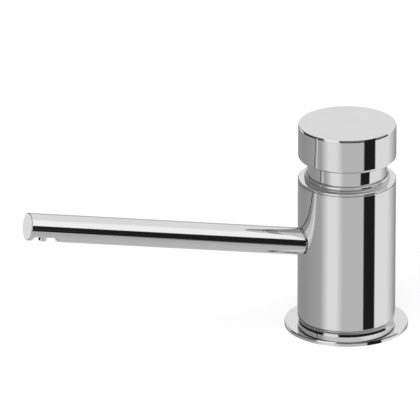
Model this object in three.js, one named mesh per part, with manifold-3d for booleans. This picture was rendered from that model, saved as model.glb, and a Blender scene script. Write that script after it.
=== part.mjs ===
// A countertop soap dispenser: a round metal body on a low flange, a push head on top and a long fixed
// spout. The head works a piston pump inside the body, which draws soap up the hollow mounting shank and
// sends it through a liner tube in the spout to a small nozzle under its tip.
// Millimetres, +Z up. The origin is the centre of the flange's underside, on the worktop's surface.
// The spout points along -X and rises towards its tip.

import * as THREE from "three";
import { mergeVertices } from "three/addons/utils/BufferGeometryUtils.js";
import Module from "manifold-3d";

const wasm = await Module();
wasm.setup();

// Body, collar and push head
const bodyRadius = 24;
const bodyWall = 1.8;
const bodyFoot = 5.3; // height of the body's lower edge above the worktop
const bodyHeight = 70.5; // from that edge to the parting line under the collar
const bodyFootChamfer = 0.3;
const floorThickness = 6;
const collarHeight = 2.2;
const collarEdge = 0.4;
const collarWidth = 4.35; // from the outside of the body in to the head's neck
const collarReach = 8; // how far the collar's spigot reaches down into the body
const partingHeight = 0.4; // of the shadow line between body and collar
const partingDepth = 0.8;
const lineBreak = 0.15; // the edges beside that line are broken this much
const lipHeight = 1.35;
const lipWidth = 0.85;
const moatWidth = 1.5; // of the channel round the lip
const moatDepth = 1.2;
const headHeight = 17;
const headTopEdge = 0.9;
const headFootFillet = 1.5;
const headRoof = 4.5;
const neckWall = 1.5;
const neckRelief = 0.3; // the neck is this much thinner above the lip, so that it doesn't scrape there
const reliefDrop = 0.5; // how far below the lip's top the relief ends
const travel = 7.5; // how far the head goes down
const headClearance = 0.75; // left above the collar's lip when the head is down

// Flange on the worktop
const flangeRadius = 30.3;
const flangeRimHeight = 1.5;
const flangeRimEdge = 0.4;
const flangeCrown = 0.45; // how much its upper face rises from the rim to the boss
const bossInset = 0.5; // the boss stands this far inside the body's outline
const bossFillet = 0.3;
const grooveInset = 2;
const grooveHeight = 0.5;
const deckSealWidth = 6;
const deckSealHeight = 3.1;
const deckSealRim = 1.5; // metal left between the seal and the outside of the boss

// Spout
const spoutRadius = 6.7;
const spoutLength = 167.5; // along its axis, from the body's axis to the flat end
const spoutHeight = 42.1; // where its axis meets the body's axis
const spoutPitch = THREE.MathUtils.degToRad(10.7);
const spoutWall = 1.8;
const spoutEndEdge = 0.45;
const tailStep = 0.7; // the tail in the body's wall is this much thinner in radius
const socketDepth = 2.5;
const socketWidth = 1.9;
const spoutSealThickness = 1;

// Notch and nozzle under the spout's tip, measured back from the flat end
const discThickness = 2.1;
const discFillet = 1.7;
const notchBelowAxis = 3.1;
const notchFlatEnd = 12.9;
const notchEndFillet = 2.8;
const nozzleSetback = 8.8;
const nozzleRadius = 2.1;
const nozzleBore = 1.25;
const nozzleSeat = 1.2; // how far the nozzle reaches above the spout's axis
const passageRadius = 1.2;
const tipSolid = 17; // length of solid metal behind the flat end
const linerRadius = 1.75;
const linerWall = 0.6;
const linerBend = 6;
const ferruleLength = 4;

// Pump
const baseThickness = 3;
const baseMargin = 0.8; // metal of the pump base outside its screws' heads
const tailRadius = 7.7; // of the pump base, in the shank's bore
const tailLength = 10.3;
const tailSealRadius = 0.5;
const inletBore = 1.9;
const inletBallRadius = 2.9;
const inletLift = 1.3;
const cageThickness = 1.5;
const cageHole = 1.3;
const barrelRadius = 9.3;
const barrelWall = 1.6;
const barrelFootThickness = 2;
const riserFloor = 1.2;
const riserWall = 1.1;
const riserSeatRise = 1.6;
const outletBore = 0.9;
const outletBallRadius = 1.7;
const outletLift = 1.2;
const outletSpigot = 3;
const outletFlange = 1.5;
const outletBarb = 3;
const pistonLength = 8;
const pistonSealHeight = 2.2;
const pistonSealDepth = 1.4;
const rodRadius = 3;
const rodSocket = 5; // how deep the rod sits in the piston
const capSpigot = 2.5;
const capThickness = 2.5;
const guideWall = 2;
const rodSealHeight = 1.6;
const rodSealWidth = 1.5;
const seatThickness = 0.8; // the washer under the return spring
const springWire = 0.6;
const springClearance = 0.9; // between the coil and the hub's boss inside it
const springTurns = 9;
const hubHeight = 12;
const hubWall = 1.6;
const hubWeb = 3;
const hubBossWall = 2.7;
const hubBossLength = 16;
const hubScrewHead = 3.4;
const hubScrewHeadHeight = 2;
const hubScrewRadius = 1.4;
const hubScrewLength = 9;
const pumpScrewCount = 3;
const pumpScrewHead = 1.3;
const pumpScrewRadius = 0.8;
const pumpScrewHeadHeight = 1.2;
const pumpScrewLength = 7;

// Rings in the collar that guide and wipe the neck
const guideRingHeight = 3.4;
const guideRingDepth = 1.1;
const guideRingFoot = 1.2; // above the spigot's lower edge
const wiperHeight = 1.6;
const wiperDrop = 0.8; // below the channel's floor

// Below the worktop
const worktop = 30; // thickness of the worktop that the clamp is set for
const shankRadius = 11;
const shankBore = 8;
const shankLength = 50; // below the worktop's surface
const deckWasherRadius = 27;
const deckWasherThickness = 3;
const clampWasherRadius = 24;
const clampWasherThickness = 2;
const nutAcrossCorners = 18.5; // radius
const nutHeight = 8;
const nutFlangeRadius = 20;
const nutFlangeHeight = 2;
const inletTubeRadius = 3.5;
const inletTubeWall = 1;
const inletTubeSeat = 4; // how deep the tube sits in the pump base and in the hose barb
const barbPlugLength = 6;
const barbHexRadius = 12.5;
const barbHexHeight = 4;
const barbBore = 2.4;
const barbRadius = 4.6;
const barbStep = 0.7;
const barbPitch = 4;
const barbCount = 3;
const barbLead = 2.5; // plain stretch between the hexagon and the first barb

// Clearances and fineness
const seatGap = 0.3; // between parts that are seated or screwed in one another
const slideGap = 0.35; // round the neck in its collar
const sealGap = 0.15; // beside a ring in its groove
const edgeBreak = 0.3;
const valveGap = 0.1;
const jointGap = 0.4; // the fine line where the spout meets the body
const roomyGap = 1.5;
const overrun = 4; // cutters pass this far beyond the faces that they cut
const outerSides = 44;
const washerSides = 32;
const innerSides = 20;
const smallSides = 12;
const tubeSides = 8;
const sealSides = 6;
const arcSteps = 3;
const weldDistance = 1e-4;

// Heights and radii that follow from them
const bodyInside = bodyRadius - bodyWall;
const bodyTop = bodyFoot + bodyHeight;
const floorTop = bodyFoot + floorThickness;
const collarTop = bodyTop + collarHeight;
const lipTop = collarTop + lipHeight;
const headFoot = lipTop + travel + headClearance;
const headTop = headFoot + headHeight;
const roofInside = headTop - headRoof;
const neckRadius = bodyRadius - collarWidth;
const neckInside = neckRadius - neckWall;
const collarBore = neckRadius + slideGap;
const lipRadius = collarBore + lipWidth;
const moatFloor = collarTop - moatDepth;
const wiperTop = moatFloor - wiperDrop;
const spigotRadius = bodyInside - seatGap;
const spigotFoot = bodyTop - collarReach;
const socketRadius = spoutRadius + socketWidth;
const socketTop = spoutHeight + bodyInside * Math.tan(spoutPitch) + socketRadius / Math.cos(spoutPitch);
const neckFoot = socketTop + travel + roomyGap;
const bossRadius = bodyRadius - bossInset;
const spoutTailRadius = spoutRadius - tailStep;
const spoutTailStart = (bodyInside - seatGap - socketDepth) / Math.cos(spoutPitch);
const spoutSealPlace = spoutTailStart + socketDepth / 2;

const hubFoot = roofInside - hubHeight;
const hubBossRadius = rodRadius + seatGap + hubBossWall;
const hubBossFoot = hubFoot - hubBossLength;
const hubWebTop = hubFoot + hubWeb;

const baseTop = floorTop + baseThickness;
const baseTailFoot = floorTop - tailLength;
const cageTop = baseTop + cageThickness;
const barrelInside = barrelRadius - barrelWall;
const barrelFootTop = baseTop + barrelFootThickness;
const pumpScrewCircle = shankRadius + seatGap + seatGap + pumpScrewHead;
const baseRadius = pumpScrewCircle + pumpScrewHead + baseMargin;
const chamberRadius = outletBallRadius + seatGap + valveGap;
const riserRadius = chamberRadius + riserWall;
const riserOffset = barrelRadius + seatGap + riserRadius;
const riserFoot = barrelFootTop + seatGap;
const portHeight = riserFoot + riserFloor + outletBore;
const portSpigot = outletBore + barrelWall / 2;
const portHole = portSpigot + seatGap;
const outletSeat = portHeight + riserSeatRise;
const outletBallHeight = ballRest(outletSeat, outletBallRadius, outletBore);
const outletFittingFoot = outletBallHeight + outletBallRadius + outletLift + valveGap;
const riserTop = outletFittingFoot + outletSpigot;
const outletFittingTop = riserTop + outletFlange;
const pistonFoot = portHeight + portHole + roomyGap + travel;
const pistonTop = pistonFoot + pistonLength;
const pistonRadius = barrelInside - seatGap;
const capFoot = pistonTop + seatGap;
const barrelTop = capFoot + capSpigot;
const capTop = barrelTop + capThickness;
const guideRadius = rodRadius + seatGap + guideWall;
const guideTop = hubBossFoot - travel - roomyGap;
const springFoot = capTop + seatThickness;
const springRadius = hubBossRadius + springClearance + springWire;
const inletBallHeight = baseTop - valveGap - inletLift - inletBallRadius;
const inletSeat = inletBallHeight - ballRest(0, inletBallRadius, inletBore);
const inletChamber = inletBallRadius + seatGap + seatGap;

const deckWasherTop = -worktop;
const deckWasherFoot = deckWasherTop - deckWasherThickness;
const clampWasherFoot = deckWasherFoot - clampWasherThickness;
const nutFoot = clampWasherFoot - nutHeight;
const shankFoot = -shankLength;
const tubeSocketRadius = inletTubeRadius + seatGap;

/** Height of a ball's centre on a 45 degree seat that starts at seatHeight with the bore's radius. */
function ballRest(seatHeight, ballRadius, boreRadius) {
  return seatHeight + ballRadius * Math.SQRT2 - boreRadius + valveGap;
}

/** Points of an arc in an outline, as [radius, height] pairs, from one angle to another in degrees. */
function arc(centreX, centreY, radius, fromDegrees, toDegrees, steps = arcSteps) {
  const points = [];
  for (let i = 0; i <= steps; i += 1) {
    const angle = THREE.MathUtils.degToRad(fromDegrees + ((toDegrees - fromDegrees) * i) / steps);
    points.push([centreX + radius * Math.cos(angle), centreY + radius * Math.sin(angle)]);
  }
  return points;
}

/** Corners of a round section with the given number of sides. */
function circle(radius, sides) {
  return Array.from({ length: sides }, (_, i) => {
    const angle = (i * 2 * Math.PI) / sides;
    return new THREE.Vector2(radius * Math.cos(angle), radius * Math.sin(angle));
  });
}

/** A closed three.js geometry as a solid that can be joined and cut. */
function toSolid(geometry) {
  geometry.deleteAttribute("normal");
  geometry.deleteAttribute("uv");
  const welded = mergeVertices(geometry, weldDistance);
  const corners = welded.index.array;
  const triangles = [];
  for (let i = 0; i < corners.length; i += 3) {
    const [a, b, c] = corners.slice(i, i + 3);
    if (a !== b && b !== c && c !== a) {
      triangles.push(a, b, c);
    }
  }
  const mesh = new wasm.Mesh({
    numProp: 3,
    vertProperties: new Float32Array(welded.attributes.position.array),
    triVerts: new Uint32Array(triangles),
  });
  return new wasm.Manifold(mesh);
}

/** Cuts each tool out of a solid. */
function cut(solid, ...tools) {
  return tools.reduce((rest, tool) => rest.subtract(tool), solid);
}

/** A named mesh of a solid. */
function part(name, solid, material) {
  const mesh = solid.getMesh();
  const geometry = new THREE.BufferGeometry();
  geometry.setAttribute("position", new THREE.BufferAttribute(new Float32Array(mesh.vertProperties), 3));
  geometry.setIndex(new THREE.BufferAttribute(new Uint32Array(mesh.triVerts), 1));
  geometry.computeVertexNormals();
  const piece = new THREE.Mesh(geometry, material());
  piece.name = name;
  return piece;
}

/** A solid turned about Z from its outline of [radius, height] pairs, which runs up the outside. */
function turned(outline, sides) {
  const points = outline.map(([radius, height]) => new THREE.Vector2(radius, height));
  const last = points[points.length - 1];
  const onAxis = points[0].x === 0 && last.x === 0;
  if (!onAxis) {
    points.push(points[0].clone());
  }
  const geometry = new THREE.LatheGeometry(points, sides);
  geometry.rotateX(Math.PI / 2);
  return toSolid(geometry);
}

/** A ring with a rectangular section. */
function ring(inside, outside, foot, top, sides) {
  return turned([[inside, foot], [outside, foot], [outside, top], [inside, top]], sides);
}

/** A washer or sleeve whose outer edges are broken. */
function sleeve(inside, outside, foot, top, sides) {
  return turned([
    [inside, foot],
    [outside - edgeBreak, foot],
    [outside, foot + edgeBreak],
    [outside, top - edgeBreak],
    [outside - edgeBreak, top],
    [inside, top],
  ], sides);
}

/** A cylinder along Z, as a body or as a cutter. */
function rod(radius, foot, top, sides) {
  return turned([[0, foot], [radius, foot], [radius, top], [0, top]], sides);
}

/** A prism with six sides along Z. */
function hexagon(radius, foot, top) {
  const geometry = new THREE.CylinderGeometry(radius, radius, top - foot, 6);
  geometry.rotateX(Math.PI / 2);
  geometry.translate(0, 0, (foot + top) / 2);
  return toSolid(geometry);
}

/** A ball on the Z axis. */
function ball(radius, height) {
  const geometry = new THREE.SphereGeometry(radius, smallSides, tubeSides);
  geometry.rotateX(Math.PI / 2);
  geometry.translate(0, 0, height);
  return toSolid(geometry);
}

/** A sealing ring with a round section about the Z axis. */
function sealRing(radius, thickness, height) {
  const geometry = new THREE.TorusGeometry(radius, thickness, sealSides, innerSides);
  geometry.translate(0, 0, height);
  return toSolid(geometry);
}

/** Moves a solid. */
function moved(solid, x, y, z) {
  return solid.translate([x, y, z]);
}

const chrome = () => new THREE.MeshStandardMaterial({ color: 0xd9dadb, roughness: 0.06, metalness: 1 });
const steel = () => new THREE.MeshStandardMaterial({ color: 0xb9bbbd, roughness: 0.3, metalness: 1 });
const brass = () => new THREE.MeshStandardMaterial({ color: 0xc2a25c, roughness: 0.35, metalness: 1 });
const rubber = () => new THREE.MeshStandardMaterial({ color: 0x1d1d1e, roughness: 0.8, metalness: 0 });
const whitePlastic = () => new THREE.MeshStandardMaterial({ color: 0xe9e8e2, roughness: 0.5, metalness: 0 });
const greyPlastic = () => new THREE.MeshStandardMaterial({ color: 0x6d7074, roughness: 0.55, metalness: 0 });

/** The push head: a thick button with a hollow neck that slides in the collar. */
function buttonCap() {
  const reliefFoot = lipTop - reliefDrop;
  const solid = turned([
    [neckInside, neckFoot],
    [neckRadius - edgeBreak, neckFoot],
    [neckRadius, neckFoot + edgeBreak],
    [neckRadius, reliefFoot - neckRelief],
    [neckRadius - neckRelief, reliefFoot],
    [neckRadius, headFoot],
    [bodyRadius - headFootFillet, headFoot],
    ...arc(bodyRadius - headFootFillet, headFoot + headFootFillet, headFootFillet, -90, 0).slice(1),
    ...arc(bodyRadius - headTopEdge, headTop - headTopEdge, headTopEdge, 0, 90),
    [0, headTop],
    [0, roofInside],
    [neckInside, roofInside],
  ], outerSides);
  return part("button_cap", solid, chrome);
}

/** The hub pressed into the head: a cup with a web and a long boss that takes the pump's rod. */
function buttonHub() {
  const outside = neckInside - seatGap;
  const solid = turned([
    [rodRadius + seatGap, hubBossFoot],
    [hubBossRadius, hubBossFoot],
    [hubBossRadius, hubFoot],
    [outside - edgeBreak, hubFoot],
    [outside, hubFoot + edgeBreak],
    [outside, roofInside],
    [outside - hubWall, roofInside],
    [outside - hubWall, hubWebTop],
    [rodRadius + seatGap, hubWebTop],
  ], innerSides);
  return part("button_hub", solid, whitePlastic);
}

/** The screw that draws the rod against the hub's web. */
function hubScrew() {
  const head = sleeve(0, hubScrewHead, hubWebTop, hubWebTop + hubScrewHeadHeight, smallSides);
  const shank = rod(hubScrewRadius, hubWebTop - hubScrewLength, hubWebTop + edgeBreak, smallSides);
  return part("hub_screw", head.add(shank), steel);
}

/** The piston rod, with the tapped hole for the hub's screw in its upper end. */
function pistonRod() {
  const foot = pistonFoot + pistonLength - rodSocket;
  const body = turned([
    [0, foot],
    [rodRadius - edgeBreak, foot],
    [rodRadius, foot + edgeBreak],
    [rodRadius, hubWebTop],
    [0, hubWebTop],
  ], smallSides);
  const holeFoot = hubWebTop - hubScrewLength - seatGap;
  const hole = rod(hubScrewRadius + seatGap, holeFoot, hubWebTop + overrun, smallSides);
  return part("piston_rod", cut(body, hole), steel);
}

/** The piston, with a groove for its seal and a socket for the rod. */
function piston() {
  const grooveFoot = pistonFoot + (pistonLength - pistonSealHeight) / 2 - sealGap;
  const grooveTop = grooveFoot + pistonSealHeight + sealGap + sealGap;
  const grooveRadius = pistonRadius - pistonSealDepth;
  const socket = rodRadius + seatGap;
  const solid = turned([
    [0, pistonFoot],
    [pistonRadius - edgeBreak, pistonFoot],
    [pistonRadius, pistonFoot + edgeBreak],
    [pistonRadius, grooveFoot],
    [grooveRadius, grooveFoot],
    [grooveRadius, grooveTop],
    [pistonRadius, grooveTop],
    [pistonRadius, pistonTop],
    [socket, pistonTop],
    [socket, pistonTop - rodSocket],
    [0, pistonTop - rodSocket],
  ], innerSides);
  return part("piston", solid, whitePlastic);
}

/** The piston's ring seal. */
function pistonSeal() {
  const foot = pistonFoot + (pistonLength - pistonSealHeight) / 2;
  const inside = pistonRadius - pistonSealDepth + sealGap;
  const solid = sleeve(inside, barrelInside - sealGap, foot, foot + pistonSealHeight, innerSides);
  return part("piston_seal", solid, rubber);
}

/** The spring's centre line, from its washer up to the hub. */
class SpringLine extends THREE.Curve {
  getPoint(t, target = new THREE.Vector3()) {
    const angle = t * springTurns * 2 * Math.PI;
    const foot = springFoot + springWire + sealGap;
    const top = hubFoot - springWire - sealGap;
    const height = foot + (top - foot) * t;
    return target.set(springRadius * Math.cos(angle), springRadius * Math.sin(angle), height);
  }
}

/** The return spring under the hub. */
function returnSpring() {
  const stepsPerTurn = 8;
  const wireSides = 5;
  const geometry = new THREE.ExtrudeGeometry(new THREE.Shape(circle(springWire, wireSides)), {
    extrudePath: new SpringLine(),
    steps: springTurns * stepsPerTurn,
    bevelEnabled: false,
  });
  const pitch = (hubFoot - springFoot) / springTurns;
  console.log(`return_spring: least gap between turns ${(pitch - springWire - springWire).toFixed(2)} mm`);
  return part("return_spring", toSolid(geometry), steel);
}

/** The washer that the spring stands on. */
function springSeat() {
  const solid = sleeve(guideRadius + seatGap, springRadius + springWire, capTop, springFoot, innerSides);
  return part("spring_seat", solid, steel);
}

/** The plug that closes the barrel and guides the rod in a tall sleeve. */
function barrelCap() {
  const bore = rodRadius + sealGap;
  const sealPocket = rodRadius + rodSealWidth + sealGap;
  const pocketTop = capFoot + rodSealHeight + sealGap;
  const solid = turned([
    [sealPocket, capFoot],
    [barrelInside - seatGap, capFoot],
    [barrelInside - seatGap, barrelTop],
    [barrelRadius, barrelTop],
    [barrelRadius, capTop],
    [guideRadius, capTop],
    [guideRadius, guideTop - edgeBreak],
    [guideRadius - edgeBreak, guideTop],
    [bore, guideTop],
    [bore, pocketTop],
    [sealPocket, pocketTop],
  ], innerSides);
  return part("barrel_cap", solid, whitePlastic);
}

/** The ring that seals the rod in the cap. */
function rodSeal() {
  const outside = rodRadius + rodSealWidth;
  const solid = ring(rodRadius + sealGap / 2, outside, capFoot, capFoot + rodSealHeight, smallSides);
  return part("rod_seal", solid, rubber);
}

/** Places round the pump's axis of the screws that hold it down. */
function pumpScrewPlaces() {
  return Array.from({ length: pumpScrewCount }, (_, i) => {
    const angle = (i * 2 * Math.PI) / pumpScrewCount;
    return [pumpScrewCircle * Math.cos(angle), pumpScrewCircle * Math.sin(angle)];
  });
}

/** Cutters for the pump's screws, with clearance round each. */
function pumpScrewHoles() {
  const foot = barrelFootTop - pumpScrewLength - seatGap;
  const hole = rod(pumpScrewRadius + seatGap, foot, barrelFootTop + overrun, smallSides);
  return pumpScrewPlaces().map(([x, y]) => moved(hole, x, y, 0));
}

/** The screws that hold the barrel and the pump base down on the body's floor. */
function pumpScrews() {
  const head = sleeve(0, pumpScrewHead, barrelFootTop, barrelFootTop + pumpScrewHeadHeight, smallSides);
  const shank = rod(pumpScrewRadius, barrelFootTop - pumpScrewLength, barrelFootTop + edgeBreak, smallSides);
  const screw = head.add(shank);
  return pumpScrewPlaces().map(([x, y], i) => part(`pump_screw_${i + 1}`, moved(screw, x, y, 0), steel));
}

/** A cutter from the pump's axis out along -X, through the barrel's outlet port. */
function sideBore(radius, from, to, height) {
  const geometry = new THREE.CylinderGeometry(radius, radius, to - from, smallSides);
  geometry.rotateZ(Math.PI / 2);
  geometry.translate(-(from + to) / 2, 0, height);
  return toSolid(geometry);
}

/** The barrel, with a foot ring that is screwed down and the outlet port low in its side. */
function pumpBarrel() {
  const solid = turned([
    [barrelInside, baseTop],
    [baseRadius - edgeBreak, baseTop],
    [baseRadius, baseTop + edgeBreak],
    [baseRadius, barrelFootTop],
    [barrelRadius, barrelFootTop],
    [barrelRadius, barrelTop],
    [barrelInside, barrelTop],
  ], innerSides);
  const port = sideBore(portHole, barrelInside - overrun, barrelRadius + overrun, portHeight);
  return part("pump_barrel", cut(solid, port, ...pumpScrewHoles()), whitePlastic);
}

/** The pump's base: a plate on the body's floor, a tail in the shank's bore and the inlet valve's seat. */
function pumpBase() {
  const grooveHeight = tailGrooveHeight();
  const groove = tailSealRadius + sealGap;
  const grooveRadius = tailRadius - tailSealRadius - sealGap;
  const solid = turned([
    [tubeSocketRadius, baseTailFoot],
    [tailRadius - edgeBreak, baseTailFoot],
    [tailRadius, baseTailFoot + edgeBreak],
    [tailRadius, grooveHeight - groove],
    [grooveRadius, grooveHeight - groove],
    [grooveRadius, grooveHeight + groove],
    [tailRadius, grooveHeight + groove],
    [tailRadius, floorTop],
    [baseRadius, floorTop],
    [baseRadius, baseTop - edgeBreak],
    [baseRadius - edgeBreak, baseTop],
    [inletChamber, baseTop],
    [inletChamber, inletSeat + inletChamber - inletBore],
    [inletBore, inletSeat],
    [inletBore, baseTailFoot + inletTubeSeat],
    [tubeSocketRadius, baseTailFoot + inletTubeSeat],
  ], innerSides);
  return part("pump_base", cut(solid, ...pumpScrewHoles()), whitePlastic);
}

/** Height of the sealing groove round the pump base's tail. */
function tailGrooveHeight() {
  return baseTailFoot + tailLength / 2;
}

/** The ring that seals the pump's tail in the shank. */
function baseSeal() {
  const solid = sealRing(tailRadius - sealGap, tailSealRadius - sealGap / 2, tailGrooveHeight());
  return part("base_seal", solid, rubber);
}

/** The inlet valve's ball, loose above its seat. */
function inletBall() {
  return part("inlet_ball", ball(inletBallRadius, inletBallHeight), steel);
}

/** The plate over the inlet ball, with holes for the soap. */
function inletCage() {
  const holeCount = 4;
  const holePlace = inletBallRadius + cageHole - seatGap;
  const hole = rod(cageHole, baseTop - overrun, cageTop + overrun, smallSides);
  const holes = Array.from({ length: holeCount }, (_, i) => {
    const angle = (i * 2 * Math.PI) / holeCount;
    return moved(hole, holePlace * Math.cos(angle), holePlace * Math.sin(angle), 0);
  });
  const plate = rod(barrelInside - seatGap, baseTop, cageTop, innerSides);
  return part("inlet_cage", cut(plate, ...holes), whitePlastic);
}

/** The outlet valve's body beside the barrel, with a side spigot that enters the barrel's port. */
function outletValveBody() {
  const chamberFoot = outletSeat + chamberRadius - outletBore;
  const upright = turned([
    [0, riserFoot],
    [riserRadius, riserFoot],
    [riserRadius, riserTop],
    [chamberRadius, riserTop],
    [chamberRadius, chamberFoot],
    [outletBore, outletSeat],
    [outletBore, portHeight],
    [0, portHeight],
  ], smallSides);
  const spigot = sideBore(portSpigot, barrelInside, riserOffset - outletBore - riserWall / 2, portHeight);
  const bore = sideBore(outletBore, barrelInside - overrun, riserOffset, portHeight);
  return part("outlet_valve_body", cut(moved(upright, -riserOffset, 0, 0).add(spigot), bore), whitePlastic);
}

/** The outlet valve's ball. */
function outletBall() {
  return part("outlet_ball", moved(ball(outletBallRadius, outletBallHeight), -riserOffset, 0, 0), steel);
}

/** The fitting that closes the outlet valve and carries the liner on its nipple. */
function outletFitting() {
  const linerBore = linerRadius - linerWall;
  const nipple = linerBore - sealGap;
  const bore = nipple / 2;
  const solid = turned([
    [bore, outletFittingFoot],
    [chamberRadius - seatGap, outletFittingFoot],
    [chamberRadius - seatGap, riserTop],
    [riserRadius, riserTop],
    [riserRadius, outletFittingTop],
    [nipple, outletFittingTop],
    [nipple, outletFittingTop + outletBarb],
    [bore, outletFittingTop + outletBarb],
  ], smallSides);
  return part("outlet_fitting", moved(solid, -riserOffset, 0, 0), whitePlastic);
}

/** The liner's centre line: up from the outlet, round one bend and along the spout's axis to its tip. */
class LinerLine extends THREE.Curve {
  constructor() {
    super();
    const turn = Math.PI / 2 - spoutPitch;
    const bendEnd = riserOffset + linerBend - linerBend * Math.cos(turn);
    this.bendFoot = spoutHeight + bendEnd * Math.tan(spoutPitch) - linerBend * Math.sin(turn);
    this.turn = turn;
    this.start = outletFittingTop + sealGap;
    this.end = spoutLength - tipSolid - seatGap;
    this.straightStart = bendEnd / Math.cos(spoutPitch);
  }

  /** Steps stay even in t, so that the bend gets most of them. */
  getUtoTmapping(u) {
    return u;
  }

  getPoint(t, target = new THREE.Vector3()) {
    const legShare = 0.1;
    const bendShare = 0.7;
    if (t <= legShare) {
      return target.set(-riserOffset, 0, this.start + ((this.bendFoot - this.start) * t) / legShare);
    }
    if (t <= bendShare) {
      const angle = (this.turn * (t - legShare)) / (bendShare - legShare);
      const inward = linerBend - linerBend * Math.cos(angle);
      return target.set(-riserOffset - inward, 0, this.bendFoot + linerBend * Math.sin(angle));
    }
    const along = (t - bendShare) / (1 - bendShare);
    const distance = this.straightStart + (this.end - this.straightStart) * along;
    return target.set(-distance * Math.cos(spoutPitch), 0, spoutHeight + distance * Math.sin(spoutPitch));
  }
}

/** The soap tube from the pump through the spout. */
function spoutLiner() {
  const section = new THREE.Shape(circle(linerRadius, tubeSides));
  section.holes.push(new THREE.Path(circle(linerRadius - linerWall, tubeSides)));
  const geometry = new THREE.ExtrudeGeometry(section, {
    extrudePath: new LinerLine(),
    steps: 10,
    bevelEnabled: false,
  });
  return part("spout_liner", toSolid(geometry), whitePlastic);
}

/** The collar screwed into the body's top: a lip round the neck, a channel, a rim and a spigot below. */
function collar() {
  const guideFoot = spigotFoot + guideRingFoot;
  const guideTopHeight = guideFoot + guideRingHeight + sealGap + sealGap;
  const guideGroove = collarBore + guideRingDepth;
  const wiperFoot = wiperTop - wiperHeight - sealGap - sealGap;
  const lineTop = bodyTop + partingHeight;
  const solid = turned([
    [collarBore, spigotFoot],
    [spigotRadius, spigotFoot],
    [spigotRadius, bodyTop],
    [bodyRadius - partingDepth, bodyTop],
    [bodyRadius - partingDepth, lineTop],
    [bodyRadius - lineBreak, lineTop],
    [bodyRadius, lineTop + lineBreak],
    ...arc(bodyRadius - collarEdge, collarTop - collarEdge, collarEdge, 0, 90, 2),
    [lipRadius + moatWidth, collarTop],
    [lipRadius + moatWidth, moatFloor],
    [lipRadius, moatFloor],
    [lipRadius, lipTop - edgeBreak],
    [lipRadius - edgeBreak, lipTop],
    [collarBore, lipTop],
    [collarBore, wiperTop],
    [guideGroove, wiperTop],
    [guideGroove, wiperFoot],
    [collarBore, wiperFoot],
    [collarBore, guideTopHeight],
    [guideGroove, guideTopHeight],
    [guideGroove, guideFoot],
    [collarBore, guideFoot],
  ], outerSides);
  return part("collar", solid, chrome);
}

/** The plastic ring that guides the neck. */
function guideRing() {
  const foot = spigotFoot + guideRingFoot + sealGap;
  const outside = collarBore + guideRingDepth - sealGap;
  const solid = ring(neckRadius + sealGap, outside, foot, foot + guideRingHeight, outerSides);
  return part("guide_ring", solid, whitePlastic);
}

/** The rubber ring that wipes the neck. */
function wiperRing() {
  const top = wiperTop - sealGap;
  const outside = collarBore + guideRingDepth - sealGap;
  return part("wiper_ring", ring(neckRadius + sealGap, outside, top - wiperHeight, top, outerSides), rubber);
}

/** Turns a geometry that is made along Z into the spout's direction, in the body's frame. */
function alongSpout(solid) {
  const turn = THREE.MathUtils.radToDeg(spoutPitch) - 90;
  return solid.rotate([0, turn, 0]).translate([0, 0, spoutHeight]);
}

/** The reverse: a solid of the body's frame, seen from the spout's own frame. */
function intoSpoutFrame(solid) {
  const turn = THREE.MathUtils.radToDeg(spoutPitch) - 90;
  return solid.translate([0, 0, -spoutHeight]).rotate([0, -turn, 0]);
}

/** The body: a tube with a thick floor, a hole for the spout and tapped holes for the pump's screws. */
function bodyShell() {
  const solid = turned([
    [shankRadius + seatGap, bodyFoot],
    [bodyRadius - bodyFootChamfer, bodyFoot],
    [bodyRadius, bodyFoot + bodyFootChamfer],
    [bodyRadius, bodyTop - lineBreak],
    [bodyRadius - lineBreak, bodyTop],
    [bodyInside, bodyTop],
    [bodyInside, floorTop],
    [shankRadius + seatGap, floorTop],
  ], outerSides);
  const holeEnd = bodyRadius + overrun + overrun;
  const spoutHole = alongSpout(rod(spoutTailRadius + seatGap, bodyInside / 2, holeEnd, innerSides));
  return part("body_shell", cut(solid, spoutHole, ...pumpScrewHoles()), chrome);
}

/** The cut under the spout's tip, as an outline of distance along the spout and height above its axis. */
function notch() {
  const below = -spoutRadius - overrun;
  const flat = -notchBelowAxis;
  const discCorner = arc(discThickness + discFillet, flat - discFillet, discFillet, 180, 90);
  const endCorner = arc(notchFlatEnd, flat - notchEndFillet, notchEndFillet, 90, 0, 2 * arcSteps);
  const notchEnd = notchFlatEnd + notchEndFillet;
  const outline = [[discThickness, below], ...discCorner, ...endCorner, [notchEnd, below]];
  const points = outline.map(([setback, height]) => new THREE.Vector2(spoutLength - setback, height));
  const shape = new THREE.Shape(points);
  const width = 2 * (spoutRadius + overrun);
  const geometry = new THREE.ExtrudeGeometry(shape, { depth: width, bevelEnabled: false });
  geometry.translate(0, 0, -width / 2);
  // The outline's first axis becomes the spout's Z and its second the spout's X.
  const toSpout = new THREE.Matrix4().makeBasis(
    new THREE.Vector3(0, 0, 1),
    new THREE.Vector3(1, 0, 0),
    new THREE.Vector3(0, 1, 0),
  );
  geometry.applyMatrix4(toSpout);
  return toSolid(geometry);
}

/** A solid made about Z, laid across the spout so that it points along the spout's own X at the nozzle. */
function acrossSpout(solid) {
  return solid.rotate([0, 90, 0]).translate([0, 0, spoutLength - nozzleSetback]);
}

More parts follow.
